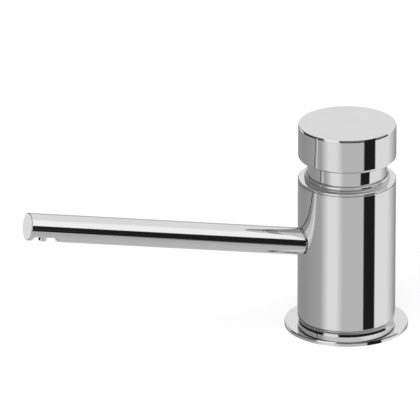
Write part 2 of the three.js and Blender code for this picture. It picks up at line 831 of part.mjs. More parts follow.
/** The spout: one bar bored for the liner, with a thinner tail, the notch and the nozzle's seat. */
function spoutTube() {
  const outside = turned([
    [0, bodyInside / 2],
    [spoutRadius, bodyInside / 2],
    ...arc(spoutRadius - spoutEndEdge, spoutLength - spoutEndEdge, spoutEndEdge, 0, 90, 2),
    [0, spoutLength],
  ], 2 * innerSides);
  const body = rod(bodyRadius + jointGap, bodyFoot - overrun, bodyTop + overrun, 2 * outerSides);
  const bodyForm = intoSpoutFrame(body);
  const solidStart = spoutLength - tipSolid;
  const nozzlePlace = spoutLength - nozzleSetback;
  const grooveHalf = spoutSealThickness / 2 + sealGap;
  const grooveRadius = spoutTailRadius - spoutSealThickness / 2;
  const tailEnd = bodyRadius + overrun + overrun;
  const tail = turned([
    [0, spoutTailStart],
    [spoutTailRadius, spoutTailStart],
    [spoutTailRadius, spoutSealPlace - grooveHalf],
    [grooveRadius, spoutSealPlace - grooveHalf],
    [grooveRadius, spoutSealPlace + grooveHalf],
    [spoutTailRadius, spoutSealPlace + grooveHalf],
    [spoutTailRadius, tailEnd],
    [0, tailEnd],
  ], innerSides);
  const bore = rod(spoutRadius - spoutWall, spoutTailStart - overrun, solidStart, innerSides);
  const passage = rod(passageRadius, solidStart - overrun, nozzlePlace, smallSides);
  const seatFoot = -spoutRadius - overrun;
  const seat = acrossSpout(rod(nozzleRadius + sealGap, seatFoot, nozzleSeat + seatGap, innerSides));
  const solid = cut(cut(outside, bodyForm).add(tail), bore, passage, seat, notch());
  return part("spout_tube", solid, chrome);
}

/** The ring that seals the spout's tail in the body's wall. */
function spoutSeal() {
  const radius = spoutTailRadius;
  const inside = radius - spoutSealThickness / 2 + sealGap / 2;
  const foot = spoutSealPlace - spoutSealThickness / 2;
  const solid = ring(inside, radius + sealGap, foot, foot + spoutSealThickness, innerSides);
  return part("spout_seal", solid, rubber);
}

/** The socket brazed inside the body's wall, into which the spout's tail is screwed. */
function spoutSocket() {
  const block = ring(spoutTailRadius + seatGap, socketRadius, spoutTailStart, bodyRadius, innerSides);
  const wall = intoSpoutFrame(rod(bodyInside - seatGap, bodyFoot, bodyTop, 2 * outerSides));
  return part("spout_socket", block.intersect(wall), brass);
}

/** The plug that centres the liner's end behind the spout's solid tip. */
function linerFerrule() {
  const top = spoutLength - tipSolid - seatGap;
  const outside = spoutRadius - spoutWall - seatGap;
  const solid = sleeve(linerRadius + sealGap, outside, top - ferruleLength, top, innerSides);
  return part("liner_ferrule", solid, whitePlastic);
}

/** The nozzle pressed into the notch's flat, level with the spout's underside. */
function nozzle() {
  const tube = sleeve(nozzleBore, nozzleRadius, -spoutRadius + edgeBreak / 2, nozzleSeat, innerSides);
  const place = spoutLength - nozzleSetback;
  const inlet = rod(passageRadius, place - nozzleRadius - overrun, place, smallSides);
  return part("nozzle", cut(acrossSpout(tube), inlet), chrome);
}

/** The flange: a thin disc with a rounded rim and a boss, hollow below for the seal. */
function baseFlange() {
  const bore = shankRadius + seatGap;
  const sealOutside = bossRadius - deckSealRim;
  const sealInside = sealOutside - deckSealWidth;
  const crownTop = flangeRimHeight + flangeCrown;
  const solid = turned([
    [bore, 0],
    [sealInside - seatGap, 0],
    [sealInside - seatGap, deckSealHeight],
    [sealOutside + seatGap, deckSealHeight],
    [sealOutside + seatGap, 0],
    [flangeRadius, 0],
    ...arc(flangeRadius - flangeRimEdge, flangeRimHeight - flangeRimEdge, flangeRimEdge, 0, 90, 2),
    ...arc(bossRadius + bossFillet, crownTop + bossFillet, bossFillet, 270, 180, 2),
    [bossRadius, bodyFoot - grooveHeight - edgeBreak],
    [bossRadius - edgeBreak, bodyFoot - grooveHeight],
    [bodyRadius - grooveInset, bodyFoot - grooveHeight],
    [bodyRadius - grooveInset, bodyFoot],
    [bore, bodyFoot],
  ], outerSides);
  return part("base_flange", solid, chrome);
}

/** The rubber ring in the flange's underside. */
function deckSeal() {
  const outside = bossRadius - deckSealRim;
  return part("deck_seal", ring(outside - deckSealWidth, outside, 0, deckSealHeight, washerSides), rubber);
}

/** The hollow shank that passes through the worktop and holds the dispenser down. */
function mountingShank() {
  return part("mounting_shank", sleeve(shankBore, shankRadius, shankFoot, floorTop, innerSides), brass);
}

/** The rubber and the steel washer under the worktop. */
function deckWashers() {
  const inside = shankRadius + seatGap;
  const soft = ring(inside, deckWasherRadius, deckWasherFoot, deckWasherTop, washerSides);
  const hard = sleeve(inside, clampWasherRadius, clampWasherFoot, deckWasherFoot, washerSides);
  return [part("deck_washer", soft, rubber), part("clamp_washer", hard, steel)];
}

/** The nut that draws the washers up against the worktop: a hexagon on a round flange. */
function mountingNut() {
  const hex = hexagon(nutAcrossCorners, nutFoot, clampWasherFoot);
  const flangeFoot = clampWasherFoot - nutFlangeHeight;
  const flange = sleeve(shankRadius + seatGap, nutFlangeRadius, flangeFoot, clampWasherFoot, innerSides);
  const bore = rod(shankRadius + seatGap, nutFoot - overrun, clampWasherFoot + overrun, innerSides);
  return part("mounting_nut", cut(hex.add(flange), bore), brass);
}

/** The tube inside the shank that feeds the pump. */
function inletTube() {
  const foot = shankFoot + barbPlugLength - inletTubeSeat + valveGap;
  const top = baseTailFoot + inletTubeSeat - valveGap;
  const solid = ring(inletTubeRadius - inletTubeWall, inletTubeRadius, foot, top, smallSides);
  return part("inlet_tube", solid, whitePlastic);
}

/** The hose fitting in the shank's lower end: a plug, a hexagon to turn it by and a barbed nipple. */
function hoseBarb() {
  const hexFoot = shankFoot - barbHexHeight;
  const plugTop = shankFoot + barbPlugLength;
  const barbs = [];
  for (let i = barbCount - 1; i >= 0; i -= 1) {
    const top = hexFoot - barbLead - i * barbPitch;
    barbs.push([barbRadius - barbStep, top - barbPitch], [barbRadius, top]);
  }
  const body = turned([
    [barbBore, hexFoot - barbLead - barbCount * barbPitch],
    ...barbs,
    [barbRadius - barbStep, hexFoot - barbLead],
    [barbRadius - barbStep, shankFoot],
    [shankBore - seatGap, shankFoot],
    [shankBore - seatGap, plugTop],
    [tubeSocketRadius, plugTop],
    [tubeSocketRadius, plugTop - inletTubeSeat],
    [barbBore, plugTop - inletTubeSeat],
  ], smallSides);
  const bore = rod(barbBore, hexFoot - overrun, shankFoot + overrun / 2, smallSides);
  return part("hose_barb", cut(body.add(hexagon(barbHexRadius, hexFoot, shankFoot)), bore), greyPlastic);
}

const head = new THREE.Group();
head.add(buttonCap(), buttonHub(), hubScrew(), pistonRod(), piston(), pistonSeal());

const pump = new THREE.Group();
pump.add(returnSpring(), springSeat(), barrelCap(), rodSeal(), pumpBarrel(), pumpBase(), baseSeal());
pump.add(inletBall(), inletCage(), outletValveBody(), outletBall(), outletFitting(), spoutLiner());
pump.add(...pumpScrews());

const spout = new THREE.Group();
spout.position.z = spoutHeight;
spout.rotation.y = spoutPitch - Math.PI / 2;
spout.add(spoutTube(), spoutSeal(), spoutSocket(), linerFerrule(), nozzle());

const housing = new THREE.Group();
housing.add(collar(), guideRing(), wiperRing(), bodyShell(), baseFlange(), deckSeal());

const fixing = new THREE.Group();
fixing.add(mountingShank(), ...deckWashers(), mountingNut(), inletTube(), hoseBarb());

const dispenser = new THREE.Group();
dispenser.add(head, pump, spout, housing, fixing);

export default dispenser;
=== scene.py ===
"""The looks of a countertop soap dispenser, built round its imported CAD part.

Meshes are made in millimetres and turned to metres when an object is made of them."""

import math

import bmesh
import bpy
from bpy.props import FloatProperty, FloatVectorProperty, PointerProperty
from mathutils import Matrix, Vector


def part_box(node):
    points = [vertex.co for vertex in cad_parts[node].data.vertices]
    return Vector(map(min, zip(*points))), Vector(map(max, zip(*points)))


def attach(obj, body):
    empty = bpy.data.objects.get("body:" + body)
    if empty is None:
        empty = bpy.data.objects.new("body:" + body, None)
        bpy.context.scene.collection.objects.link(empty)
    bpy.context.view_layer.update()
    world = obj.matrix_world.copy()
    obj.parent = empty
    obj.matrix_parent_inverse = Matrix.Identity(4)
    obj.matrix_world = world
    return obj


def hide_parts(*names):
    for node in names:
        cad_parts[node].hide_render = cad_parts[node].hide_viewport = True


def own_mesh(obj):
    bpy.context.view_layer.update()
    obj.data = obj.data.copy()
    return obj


bl_info = {
    "name": "Countertop soap dispenser",
    "version": (1, 0, 0),
    "blender": (4, 5, 0),
    "location": "View3D > Sidebar > Dispenser",
    "description": "Dresses the CAD frame of a countertop soap dispenser and lights it in a small studio",
    "category": "Object",
}

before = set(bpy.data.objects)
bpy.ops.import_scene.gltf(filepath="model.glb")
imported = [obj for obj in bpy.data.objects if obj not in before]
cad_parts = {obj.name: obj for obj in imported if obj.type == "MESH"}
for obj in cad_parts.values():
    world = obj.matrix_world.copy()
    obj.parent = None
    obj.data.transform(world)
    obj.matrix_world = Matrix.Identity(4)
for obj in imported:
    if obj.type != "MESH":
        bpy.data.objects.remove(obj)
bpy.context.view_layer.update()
MM = 0.001
ROUND_STEPS = 192  # sides of the large turned pieces
SMALL_STEPS = 72  # sides of the small turned pieces
SHARP_ANGLE = math.radians(32)
ROUND_MATCH = 0.004  # how near a corner lies to a round to be taken as on it, in millimetres
TURNED = Matrix.Identity(4)
FLOOR_THICKNESS = 6  # of the body's floor, in millimetres
FLOOR_BORE = 11.3  # radius of the hole through the body's floor and the flange
SCREW_CIRCLE = 12.9  # radius on which the pump's three screws stand
SCREW_HOLE = 1.1  # radius of their holes
OUTLET_OFFSET = 12.8  # from the body's axis to the outlet valve's
SPOUT_HOLE = 6.3  # radius of the hole in the body's wall for the spout's tail
SNUG = 0.15  # between a piece and the groove, hole or sleeve that it sits or slides in
OVERRUN = 4  # how far a cutter runs past what it cuts


def span(node):
    """A node's foot, top and half depth, in millimetres."""
    low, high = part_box(node)
    return low.z / MM, high.z / MM, (high.y - low.y) / 2 / MM


def linear(code):
    """The linear RGBA of an sRGB hex colour."""
    values = [int(code[i : i + 2], 16) / 255 for i in (1, 3, 5)]
    shades = [v / 12.92 if v <= 0.04045 else ((v + 0.055) / 1.055) ** 2.4 for v in values]
    return (*shades, 1.0)


def length(name, description, millimetres):
    """A length in the settings, which keep metres."""
    return FloatProperty(name=name, description=description, default=millimetres * MM, min=0, unit="LENGTH")


def angle(name, description, degrees):
    """An angle in the settings, which keep radians."""
    return FloatProperty(name=name, description=description, default=math.radians(degrees), subtype="ANGLE")


def colour(name, description, code):
    """A colour in the settings."""
    return FloatVectorProperty(
        name=name, description=description, default=linear(code)[:3], size=3, min=0, max=1, subtype="COLOR"
    )


class DispenserSizes(bpy.types.PropertyGroup):
    """Sizes of the shown pieces; those that the frame holds are read from it."""

    body_radius: length("Body radius", "Outside radius of body, collar and head", span("body_shell")[2])
    body_foot: length("Body foot", "Height of the body's lower edge", span("body_shell")[0])
    body_top: length("Body top", "Height of the parting line under the collar", span("body_shell")[1])
    body_wall: length("Body wall", "Thickness of the body's wall", 1.8)
    collar_height: length("Collar height", "From the parting line to the collar's rim", 1.4)
    line_height: length("Parting line", "Height of the shadow line between body and collar", 0.4)
    lip_top: length("Lip top", "Height of the collar's raised lip", span("collar")[1])
    lip_radius: length("Lip radius", "Outside radius of the collar's raised lip", 20.85)
    neck_radius: length("Neck radius", "Radius of the head's neck where it slides", 19.65)
    neck_relief: length("Neck relief", "How much thinner the neck is just above the lip", 0.3)
    neck_foot: length("Neck foot", "Height of the lower end of the head's neck", span("button_cap")[0])
    head_top: length("Head top", "Height of the push head's upper face", span("button_cap")[1] + 0.55)
    head_height: length("Head height", "Thickness of the push head", 17.55)
    head_fillet: length("Head fillet", "Radius of the head's lower edge", 1.7)
    head_edge: length("Head edge", "Height of the fine bevel round the head's upper face", 1.05)
    flange_radius: length("Flange radius", "Outside radius of the flange", span("base_flange")[2])
    flange_top: length("Flange top", "Height of the flange's upper face", 2.05)
    flange_fall: length("Flange fall", "How far the flange's upper face falls from the boss to its rim", 0.07)
    flange_edge: length("Flange edge", "Height of the fine bevel round the flange's upper face", 0.62)
    boss_radius: length("Boss radius", "Radius of the flange's boss under the body", 23.5)
    boss_flare: length("Boss flare", "Height up to which the boss widens towards its foot", 1.5)
    spout_radius: length("Spout radius", "Outside radius of the spout", span("spout_tube")[2])
    spout_length: length("Spout length", "From the body's axis to the spout's flat end", 167.5)
    spout_height: length("Spout height", "Height where the spout's axis meets the body's axis", 42.1)
    spout_pitch: angle("Spout pitch", "How far the spout rises above the horizontal", 10.7)
    spout_gap: length("Spout gap", "Width of the shadow line where the spout meets the body", 0.9)
    notch_depth: length("Notch flat", "How far the flat under the tip lies below the spout's axis", 3.1)
    nozzle_setback: length("Nozzle setback", "From the spout's flat end to the nozzle's middle", 8.8)
    nozzle_radius: length("Nozzle radius", "Outside radius of the nozzle", 2.1)
    thread_pitch: length("Thread pitch", "Pitch of the thread on the mounting shank", 1.5)


class DispenserColours(bpy.types.PropertyGroup):
    """Colours of the finishes and of the studio."""

    chrome: colour("Chrome", "What polished chrome plate reflects", "#E0E0E0")
    steel: colour("Stainless steel", "Turned, stamped and drawn stainless steel", "#BDBCB8")
    brass: colour("Brass", "Turned free-cutting brass", "#CDAA5F")
    tarnish: colour("Tarnish", "Brass that has been handled", "#A9853F")
    rubber: colour("Rubber", "Black nitrile rubber", "#1B1B1C")
    bloom: colour("Bloom", "The grey bloom on stored rubber", "#38383A")
    acetal: colour("Acetal", "White moulded acetal", "#E8E6DF")
    tubing: colour("Tubing", "Milky extruded polyethylene", "#DDE0DC")
    nylon: colour("Nylon", "Grey glass-filled nylon", "#66696D")
    fibre: colour("Fibre", "Glass fibre near the nylon's surface", "#84878A")
    floor: colour("Floor", "The studio's floor", "#F0F0F0")


class DispenserStudio(bpy.types.PropertyGroup):
    """The camera and the light."""

    camera_distance: length("Camera distance", "From the point looked at", 4500)
    camera_azimuth: angle("Camera azimuth", "Round the object, from the front", -19.65)
    camera_elevation: angle("Camera elevation", "Above the horizon", 21.643)
    camera_lens: FloatProperty(
        name="Lens", description="Focal length on a 36 mm sensor", default=789.2, unit="CAMERA"
    )
    fill_light: FloatProperty(
        name="Fill light", description="Strength of the light from all round", default=0.75, min=0
    )
    key_light: FloatProperty(
        name="Key light", description="Power of the soft lamp above, in watts", default=80, min=0
    )
    floor_glow: FloatProperty(
        name="Floor glow",
        description="How far the floor is lifted to white for the camera",
        default=0.72,
        min=0,
        max=1,
    )


def size(name):
    """A length of the settings, in millimetres."""
    return getattr(bpy.context.scene.dispenser_sizes, name) / MM


def add_node(tree, kind, links=None, stops=None, **settings):
    """Adds a node: its settings, its colour stops, and what its inputs are linked or set to."""
    node = tree.nodes.new(kind)
    for name, value in settings.items():
        setattr(node, name, value)
    for i, (spot, shade) in enumerate(stops or ()):
        elements = node.color_ramp.elements
        element = elements[i] if i < len(elements) else elements.new(spot)
        element.position = spot
        element.color = shade
    for name, value in (links or {}).items():
        if isinstance(value, bpy.types.NodeSocket):
            tree.links.new(value, node.inputs[name])
        else:
            node.inputs[name].default_value = value
    return node


def new_material(name):
    """An empty node material, its node tree and the place on the piece that its patterns go by."""
    material = bpy.data.materials.new(name)
    material.use_nodes = True
    tree = material.node_tree
    tree.nodes.clear()
    return material, tree, add_node(tree, "ShaderNodeTexCoord").outputs["Object"]


def per_metre(millimetres):
    """The scale of a pattern whose marks are that far apart."""
    return 1 / (millimetres * MM)


def dress(tree, settings):
    """Ends a material's tree in the standard shader."""
    shader = add_node(tree, "ShaderNodeBsdfPrincipled", settings)
    add_node(tree, "ShaderNodeOutputMaterial", {"Surface": shader.outputs["BSDF"]})


def chrome_plate():
    """Bright chrome over nickel on buffed brass: a clean mirror. What gives it away as plate is that
    reflections end a little softly, from a faint wiping haze 11 mm across and the long waves that buffing
    leaves."""
    material, tree, place = new_material("polished_chrome_plate")
    haze = add_node(
        tree, "ShaderNodeTexNoise", {"Vector": place, "Scale": per_metre(11), "Detail": 4, "Roughness": 0.6}
    )
    rough = add_node(
        tree, "ShaderNodeMapRange", {"Value": haze.outputs["Fac"], 1: 0.35, 2: 0.75, 3: 0.03, 4: 0.06}
    )
    wave = add_node(tree, "ShaderNodeTexNoise", {"Vector": place, "Scale": per_metre(22), "Detail": 1})
    bump = add_node(
        tree, "ShaderNodeBump", {"Height": wave.outputs["Fac"], "Strength": 0.02, "Distance": 0.2 * MM}
    )
    chrome = (*bpy.context.scene.dispenser_colours.chrome, 1)
    dress(
        tree, {"Base Color": chrome, "Metallic": 1, "Roughness": rough.outputs[0], "Normal": bump.outputs[0]}
    )
    return material


def machined(name, shade, worn, feed, rough, depth):
    """Metal turned on a lathe: the tool's feed leaves fine rings, on round faces along the axis and on flat
    faces round it. They are drawn wider apart than the real 0.1 mm so that they show. Handling dulls it in
    patches."""
    material, tree, place = new_material(name)
    across = add_node(tree, "ShaderNodeSeparateXYZ", {0: place})
    plan = add_node(tree, "ShaderNodeVectorMath", {0: place, 1: (1, 1, 0)}, operation="MULTIPLY")
    reach = add_node(tree, "ShaderNodeVectorMath", {0: plan.outputs[0]}, operation="LENGTH")
    facing = add_node(
        tree, "ShaderNodeSeparateXYZ", {0: add_node(tree, "ShaderNodeNewGeometry").outputs["Normal"]}
    )
    flat = add_node(tree, "ShaderNodeMath", {0: facing.outputs["Z"]}, operation="ABSOLUTE")
    flat = add_node(tree, "ShaderNodeMath", {0: flat.outputs[0], 1: 0.7}, operation="GREATER_THAN")
    along = add_node(
        tree, "ShaderNodeMix", {0: flat.outputs[0], 2: across.outputs["Z"], 3: reach.outputs["Value"]}
    )
    lines = add_node(tree, "ShaderNodeMath", {0: along.outputs[0], 1: per_metre(feed)}, operation="MULTIPLY")
    rings = add_node(tree, "ShaderNodeTexNoise", {"W": lines.outputs[0], "Detail": 2}, noise_dimensions="1D")
    patch = add_node(tree, "ShaderNodeTexNoise", {"Vector": place, "Scale": per_metre(9), "Detail": 5})
    stain = add_node(
        tree, "ShaderNodeMapRange", {"Value": patch.outputs["Fac"], 1: 0.45, 2: 0.75, 3: 0.0, 4: 0.7}
    )
    tint = add_node(
        tree, "ShaderNodeMix", {0: stain.outputs[0], 6: (*shade, 1), 7: (*worn, 1)}, data_type="RGBA"
    )
    dull = add_node(
        tree, "ShaderNodeMapRange", {"Value": rings.outputs["Fac"], 1: 0.3, 2: 0.7, 3: rough, 4: rough + 0.14}
    )
    bump = add_node(
        tree, "ShaderNodeBump", {"Height": rings.outputs["Fac"], "Strength": 0.5, "Distance": depth * MM}
    )
    dress(
        tree,
        {
            "Base Color": tint.outputs[2],
            "Metallic": 1,
            "Roughness": dull.outputs[0],
            "Normal": bump.outputs[0],
        },
    )
    return material


def stamped_steel():
    """Stainless sheet, stamped and tumbled: short scratches about 2 mm long run every way and the face is a
    soft grey rather than a mirror."""
    material, tree, place = new_material("stamped_stainless_steel")
    colours = bpy.context.scene.dispenser_colours
    marks = []
    for turn in (0.3, 1.4, 2.5):
        way = add_node(
            tree, "ShaderNodeMapping", {"Vector": place, "Rotation": (0, 0, turn), "Scale": (1, 12, 12)}
        )
        scratch = add_node(
            tree, "ShaderNodeTexNoise", {"Vector": way.outputs[0], "Scale": per_metre(2), "Detail": 3}
        )
        marks.append(scratch.outputs["Fac"])
    pair = add_node(tree, "ShaderNodeMath", {0: marks[0], 1: marks[1]}, operation="MAXIMUM")
    grain = add_node(tree, "ShaderNodeMath", {0: pair.outputs[0], 1: marks[2]}, operation="MAXIMUM")
    rough = add_node(
        tree, "ShaderNodeMapRange", {"Value": grain.outputs[0], 1: 0.45, 2: 0.75, 3: 0.26, 4: 0.44}
    )
    tint = add_node(
        tree,
        "ShaderNodeMix",
        {0: grain.outputs[0], 6: (*colours.steel, 1), 7: (*[v * 0.82 for v in colours.steel], 1)},
        data_type="RGBA",
    )
    bump = add_node(
        tree, "ShaderNodeBump", {"Height": grain.outputs[0], "Strength": 0.4, "Distance": 0.02 * MM}
    )
    dress(
        tree,
        {
            "Base Color": tint.outputs[2],
            "Metallic": 1,
            "Roughness": rough.outputs[0],
            "Normal": bump.outputs[0],
        },
    )
    return material


def lapped_steel():
    """Stainless balls, ground and lapped: nearly a mirror, with a very fine matt bloom where they roll."""
    material, tree, place = new_material("lapped_stainless_steel")
    bloom = add_node(tree, "ShaderNodeTexNoise", {"Vector": place, "Scale": per_metre(1.2), "Detail": 3})
    rough = add_node(
        tree, "ShaderNodeMapRange", {"Value": bloom.outputs["Fac"], 1: 0.4, 2: 0.7, 3: 0.05, 4: 0.14}
    )
    steel = (*bpy.context.scene.dispenser_colours.steel, 1)
    dress(tree, {"Base Color": steel, "Metallic": 1, "Roughness": rough.outputs[0]})
    return material


def drawn_wire():
    """Spring wire, drawn through a die and stress-relieved: faint lines along it and a straw-coloured
    warmth."""
    material, tree, place = new_material("drawn_stainless_wire")
    colours = bpy.context.scene.dispenser_colours
    lines = add_node(tree, "ShaderNodeMapping", {"Vector": place, "Scale": (1, 1, 6)})
    streak = add_node(
        tree, "ShaderNodeTexNoise", {"Vector": lines.outputs[0], "Scale": per_metre(0.9), "Detail": 3}
    )
    rough = add_node(
        tree, "ShaderNodeMapRange", {"Value": streak.outputs["Fac"], 1: 0.35, 2: 0.7, 3: 0.2, 4: 0.36}
    )
    warm = (colours.steel[0] * 0.98, colours.steel[1] * 0.9, colours.steel[2] * 0.76, 1)
    heat = add_node(tree, "ShaderNodeTexNoise", {"Vector": place, "Scale": per_metre(7), "Detail": 2})
    tint = add_node(
        tree, "ShaderNodeMix", {0: heat.outputs["Fac"], 6: (*colours.steel, 1), 7: warm}, data_type="RGBA"
    )
    bump = add_node(
        tree, "ShaderNodeBump", {"Height": streak.outputs["Fac"], "Strength": 0.3, "Distance": 0.01 * MM}
    )
    dress(
        tree,
        {
            "Base Color": tint.outputs[2],
            "Metallic": 1,
            "Roughness": rough.outputs[0],
            "Normal": bump.outputs[0],
        },
    )
    return material


def nitrile_rubber():
    """Black nitrile rubber from a blasted mould: a dull face with a 0.3 mm grain and a grey bloom in
    patches."""
    material, tree, place = new_material("moulded_nitrile_rubber")
    colours = bpy.context.scene.dispenser_colours
    cloud = add_node(tree, "ShaderNodeTexNoise", {"Vector": place, "Scale": per_metre(8), "Detail": 4})
    dust = add_node(
        tree, "ShaderNodeMapRange", {"Value": cloud.outputs["Fac"], 1: 0.45, 2: 0.8, 3: 0.0, 4: 0.8}
    )
    tint = add_node(
        tree,
        "ShaderNodeMix",
        {0: dust.outputs[0], 6: (*colours.rubber, 1), 7: (*colours.bloom, 1)},
        data_type="RGBA",
    )
    grain = add_node(tree, "ShaderNodeTexNoise", {"Vector": place, "Scale": per_metre(0.3), "Detail": 2})
    rough = add_node(
        tree, "ShaderNodeMapRange", {"Value": grain.outputs["Fac"], 1: 0.3, 2: 0.7, 3: 0.58, 4: 0.78}
    )
    bump = add_node(
        tree, "ShaderNodeBump", {"Height": grain.outputs["Fac"], "Strength": 0.5, "Distance": 0.03 * MM}
    )
    dress(
        tree,
        {
            "Base Color": tint.outputs[2],
            "Roughness": rough.outputs[0],
            "IOR": 1.52,
            "Sheen Weight": 0.08,
            "Normal": bump.outputs[0],
        },
    )
    return material


def moulded_plastic(name, shade, fleck, flow, rough, glow):
    """Plastic from a spark-eroded mould: a fine even grain, a satin gloss, and streaks where the melt flowed.
    What lets light in, such as white acetal and milky polyethylene, looks soft at its edges."""
    material, tree, place = new_material(name)
    drawn = add_node(tree, "ShaderNodeMapping", {"Vector": place, "Scale": (1, 1, 1 / flow)})
    streak = add_node(
        tree, "ShaderNodeTexNoise", {"Vector": drawn.outputs[0], "Scale": per_metre(1.1), "Detail": 4}
    )
    share = add_node(
        tree, "ShaderNodeMapRange", {"Value": streak.outputs["Fac"], 1: 0.45, 2: 0.75, 3: 0.0, 4: 0.6}
    )
    tint = add_node(
        tree, "ShaderNodeMix", {0: share.outputs[0], 6: (*shade, 1), 7: (*fleck, 1)}, data_type="RGBA"
    )
    grain = add_node(tree, "ShaderNodeTexNoise", {"Vector": place, "Scale": per_metre(0.25), "Detail": 2})
    gloss = add_node(
        tree, "ShaderNodeMapRange", {"Value": grain.outputs["Fac"], 1: 0.3, 2: 0.7, 3: rough, 4: rough + 0.12}
    )
    bump = add_node(
        tree, "ShaderNodeBump", {"Height": grain.outputs["Fac"], "Strength": 0.3, "Distance": 0.02 * MM}
    )
    dress(
        tree,
        {
            "Base Color": tint.outputs[2],
            "Roughness": gloss.outputs[0],
            "IOR": 1.5,
            "Subsurface Weight": glow,
            "Subsurface Radius": (1.0, 0.9, 0.8),
            "Subsurface Scale": 0.8 * MM,
            "Normal": bump.outputs[0],
        },
    )
    return material


def finish(name):
    """The material of a finish, made the first time that it is asked for, and the record's slot for it."""
    colours = bpy.context.scene.dispenser_colours
    worn_steel = [v * 0.8 for v in colours.steel]
    pale = [v * 0.9 for v in colours.acetal]
    makers = {
        "chrome": ("polished_chrome", chrome_plate),
        "turned steel": (
            "stainless_steel",
            lambda: machined(
                "turned_stainless_steel", colours.steel, worn_steel, feed=0.3, rough=0.18, depth=0.01
            ),
        ),
        "stamped steel": ("stainless_steel", stamped_steel),
        "lapped steel": ("stainless_steel", lapped_steel),
        "wire": ("stainless_steel", drawn_wire),
        "brass": (
            "brass",
            lambda: machined(
                "turned_brass", colours.brass, colours.tarnish, feed=0.35, rough=0.2, depth=0.015
            ),
        ),
        "rubber": ("black_rubber", nitrile_rubber),
        "acetal": (
            "white_plastic",
            lambda: moulded_plastic("moulded_acetal", colours.acetal, pale, flow=2, rough=0.34, glow=0.25),
        ),
        "tubing": (
            "white_plastic",
            lambda: moulded_plastic(
                "extruded_polyethylene", colours.tubing, colours.acetal, flow=12, rough=0.26, glow=0.6
            ),
        ),
        "nylon": (
            "grey_plastic",
            lambda: moulded_plastic(
                "moulded_glass_filled_nylon", colours.nylon, colours.fibre, flow=5, rough=0.42, glow=0.0
            ),
        ),
    }
    slot, make = makers[name]
    if name not in FINISHES:
        FINISHES[name] = make()
    return FINISHES[name], slot


FINISHES = {}


def arc(centre_r, centre_z, radius, start, end, steps=8, rise=None):
    """Points of an arc in an outline, from one angle to another in degrees. A rise makes it an ellipse's
    arc."""
    angles = [math.radians(start + (end - start) * i / steps) for i in range(steps + 1)]
    rise = radius if rise is None else rise
    return [(centre_r + radius * math.cos(a), centre_z + rise * math.sin(a)) for a in angles]


def foot_edge(radius, height, edge, steps):
    """The rounding of a piece's lower outer edge, where its outside and its underside would meet."""
    return arc(radius - edge, height + edge, edge, -90, 0, steps)


def top_edge(radius, height, edge, steps):
    """The rounding of a piece's upper outer edge."""
    return arc(radius - edge, height - edge, edge, 0, 90, steps)


def bevel(radius, top, height):
    """The fine, steep bevel round the head and the flange, which shows as a line."""
    inner, corner = radius - height / 4, 0.04
    return [(radius, top - height), (inner, top - corner), (inner - corner, top)]


def rounded(inside, outside, foot, top, edge, steps=5):
    """The outline of a ring, or of a rod if its inside is 0, with rounded edges."""
    outer = [*foot_edge(outside, foot, edge, steps), *top_edge(outside, top, edge, steps)]
    if inside == 0:
        return [(0, foot), *outer, (0, top)]
    return [
        *outer,
        *arc(inside + edge, top - edge, edge, 90, 180, steps),
        *arc(inside + edge, foot + edge, edge, 180, 270, steps),
    ]


def as_object(name, mesh):
    """A new object of a bmesh in millimetres, whose faces point outwards."""
    bmesh.ops.remove_doubles(mesh, verts=mesh.verts, dist=1e-4)
    bmesh.ops.recalc_face_normals(mesh, faces=mesh.faces)
    mesh.transform(Matrix.Scale(MM, 4))
    data = bpy.data.meshes.new(name)
    mesh.to_mesh(data)
    mesh.free()
    obj = bpy.data.objects.new(name, data)
    bpy.context.scene.collection.objects.link(obj)
    return obj


def revolve(mesh, outline, steps, closed=True):
    """Adds the faces that an outline of (radius, height) sweeps round Z. A pair of points on the axis has
    none."""
    rows = []
    for radius, height in outline:
        if radius == 0:
            rows.append([mesh.verts.new((0, 0, height))])
            continue
        angles = [2 * math.pi * i / steps for i in range(steps)]
        rows.append([mesh.verts.new((radius * math.cos(a), radius * math.sin(a), height)) for a in angles])
    for low, high in zip(rows, rows[1:] + (rows[:1] if closed else [])):
        if len(low) == len(high) == 1:
            continue
        for i in range(steps):
            j = (i + 1) % steps
            corners = [low[i % len(low)], low[j % len(low)], high[j % len(high)], high[i % len(high)]]
            mesh.faces.new(list(dict.fromkeys(corners)))


def turned(name, outline, steps=ROUND_STEPS):
    """An object turned about Z from an outline that runs up its outside and closes on itself or on the
    axis."""
    mesh = bmesh.new()
    revolve(mesh, outline, steps)
    return as_object(name, mesh)


def threaded(name, bore, crest, depth, pitch, foot, top, steps=96):
    """A rod, or a sleeve with a bore, with a real helical thread whose ends run out under a chamfer."""
    mesh = bmesh.new()
    root = crest - depth
    edge, small = root - depth / 8, 0.3
    shape = [(0.0, root), (0.14, root), (0.45, crest), (0.6, crest)]  # by share of the pitch
    turns = math.ceil((top - foot) / pitch) + 4
    columns = []
    for i in range(steps):
        turn = i / steps
        way = Vector((math.cos(2 * math.pi * turn), math.sin(2 * math.pi * turn), 0))
        column = []
        for k in range(turns * len(shape)):
            share, radius = shape[k % len(shape)]
            height = foot + (k // len(shape) - 2 + share + turn) * pitch
            height = min(max(height, foot), top)
            radius = min(radius, edge + min(height - foot, top - height))
            column.append(mesh.verts.new(way * radius + Vector((0, 0, height))))
        columns.append(column)
    for i in range(steps):
        shift = len(shape) if i == steps - 1 else 0
        near, far = columns[i], columns[(i + 1) % steps][shift:]
        for k in range(len(far) - 1):
            mesh.faces.new((near[k], far[k], far[k + 1], near[k + 1]))
    if bore:
        inner = [(bore + small, top), (bore, top - small), (bore, foot + small), (bore + small, foot)]
        revolve(mesh, [(edge, top), *inner, (edge, foot)], steps, closed=False)
    else:
        revolve(mesh, [(edge, top), (0, top)], steps, closed=False)
        revolve(mesh, [(0, foot), (edge, foot)], steps, closed=False)
    return as_object(name, mesh)


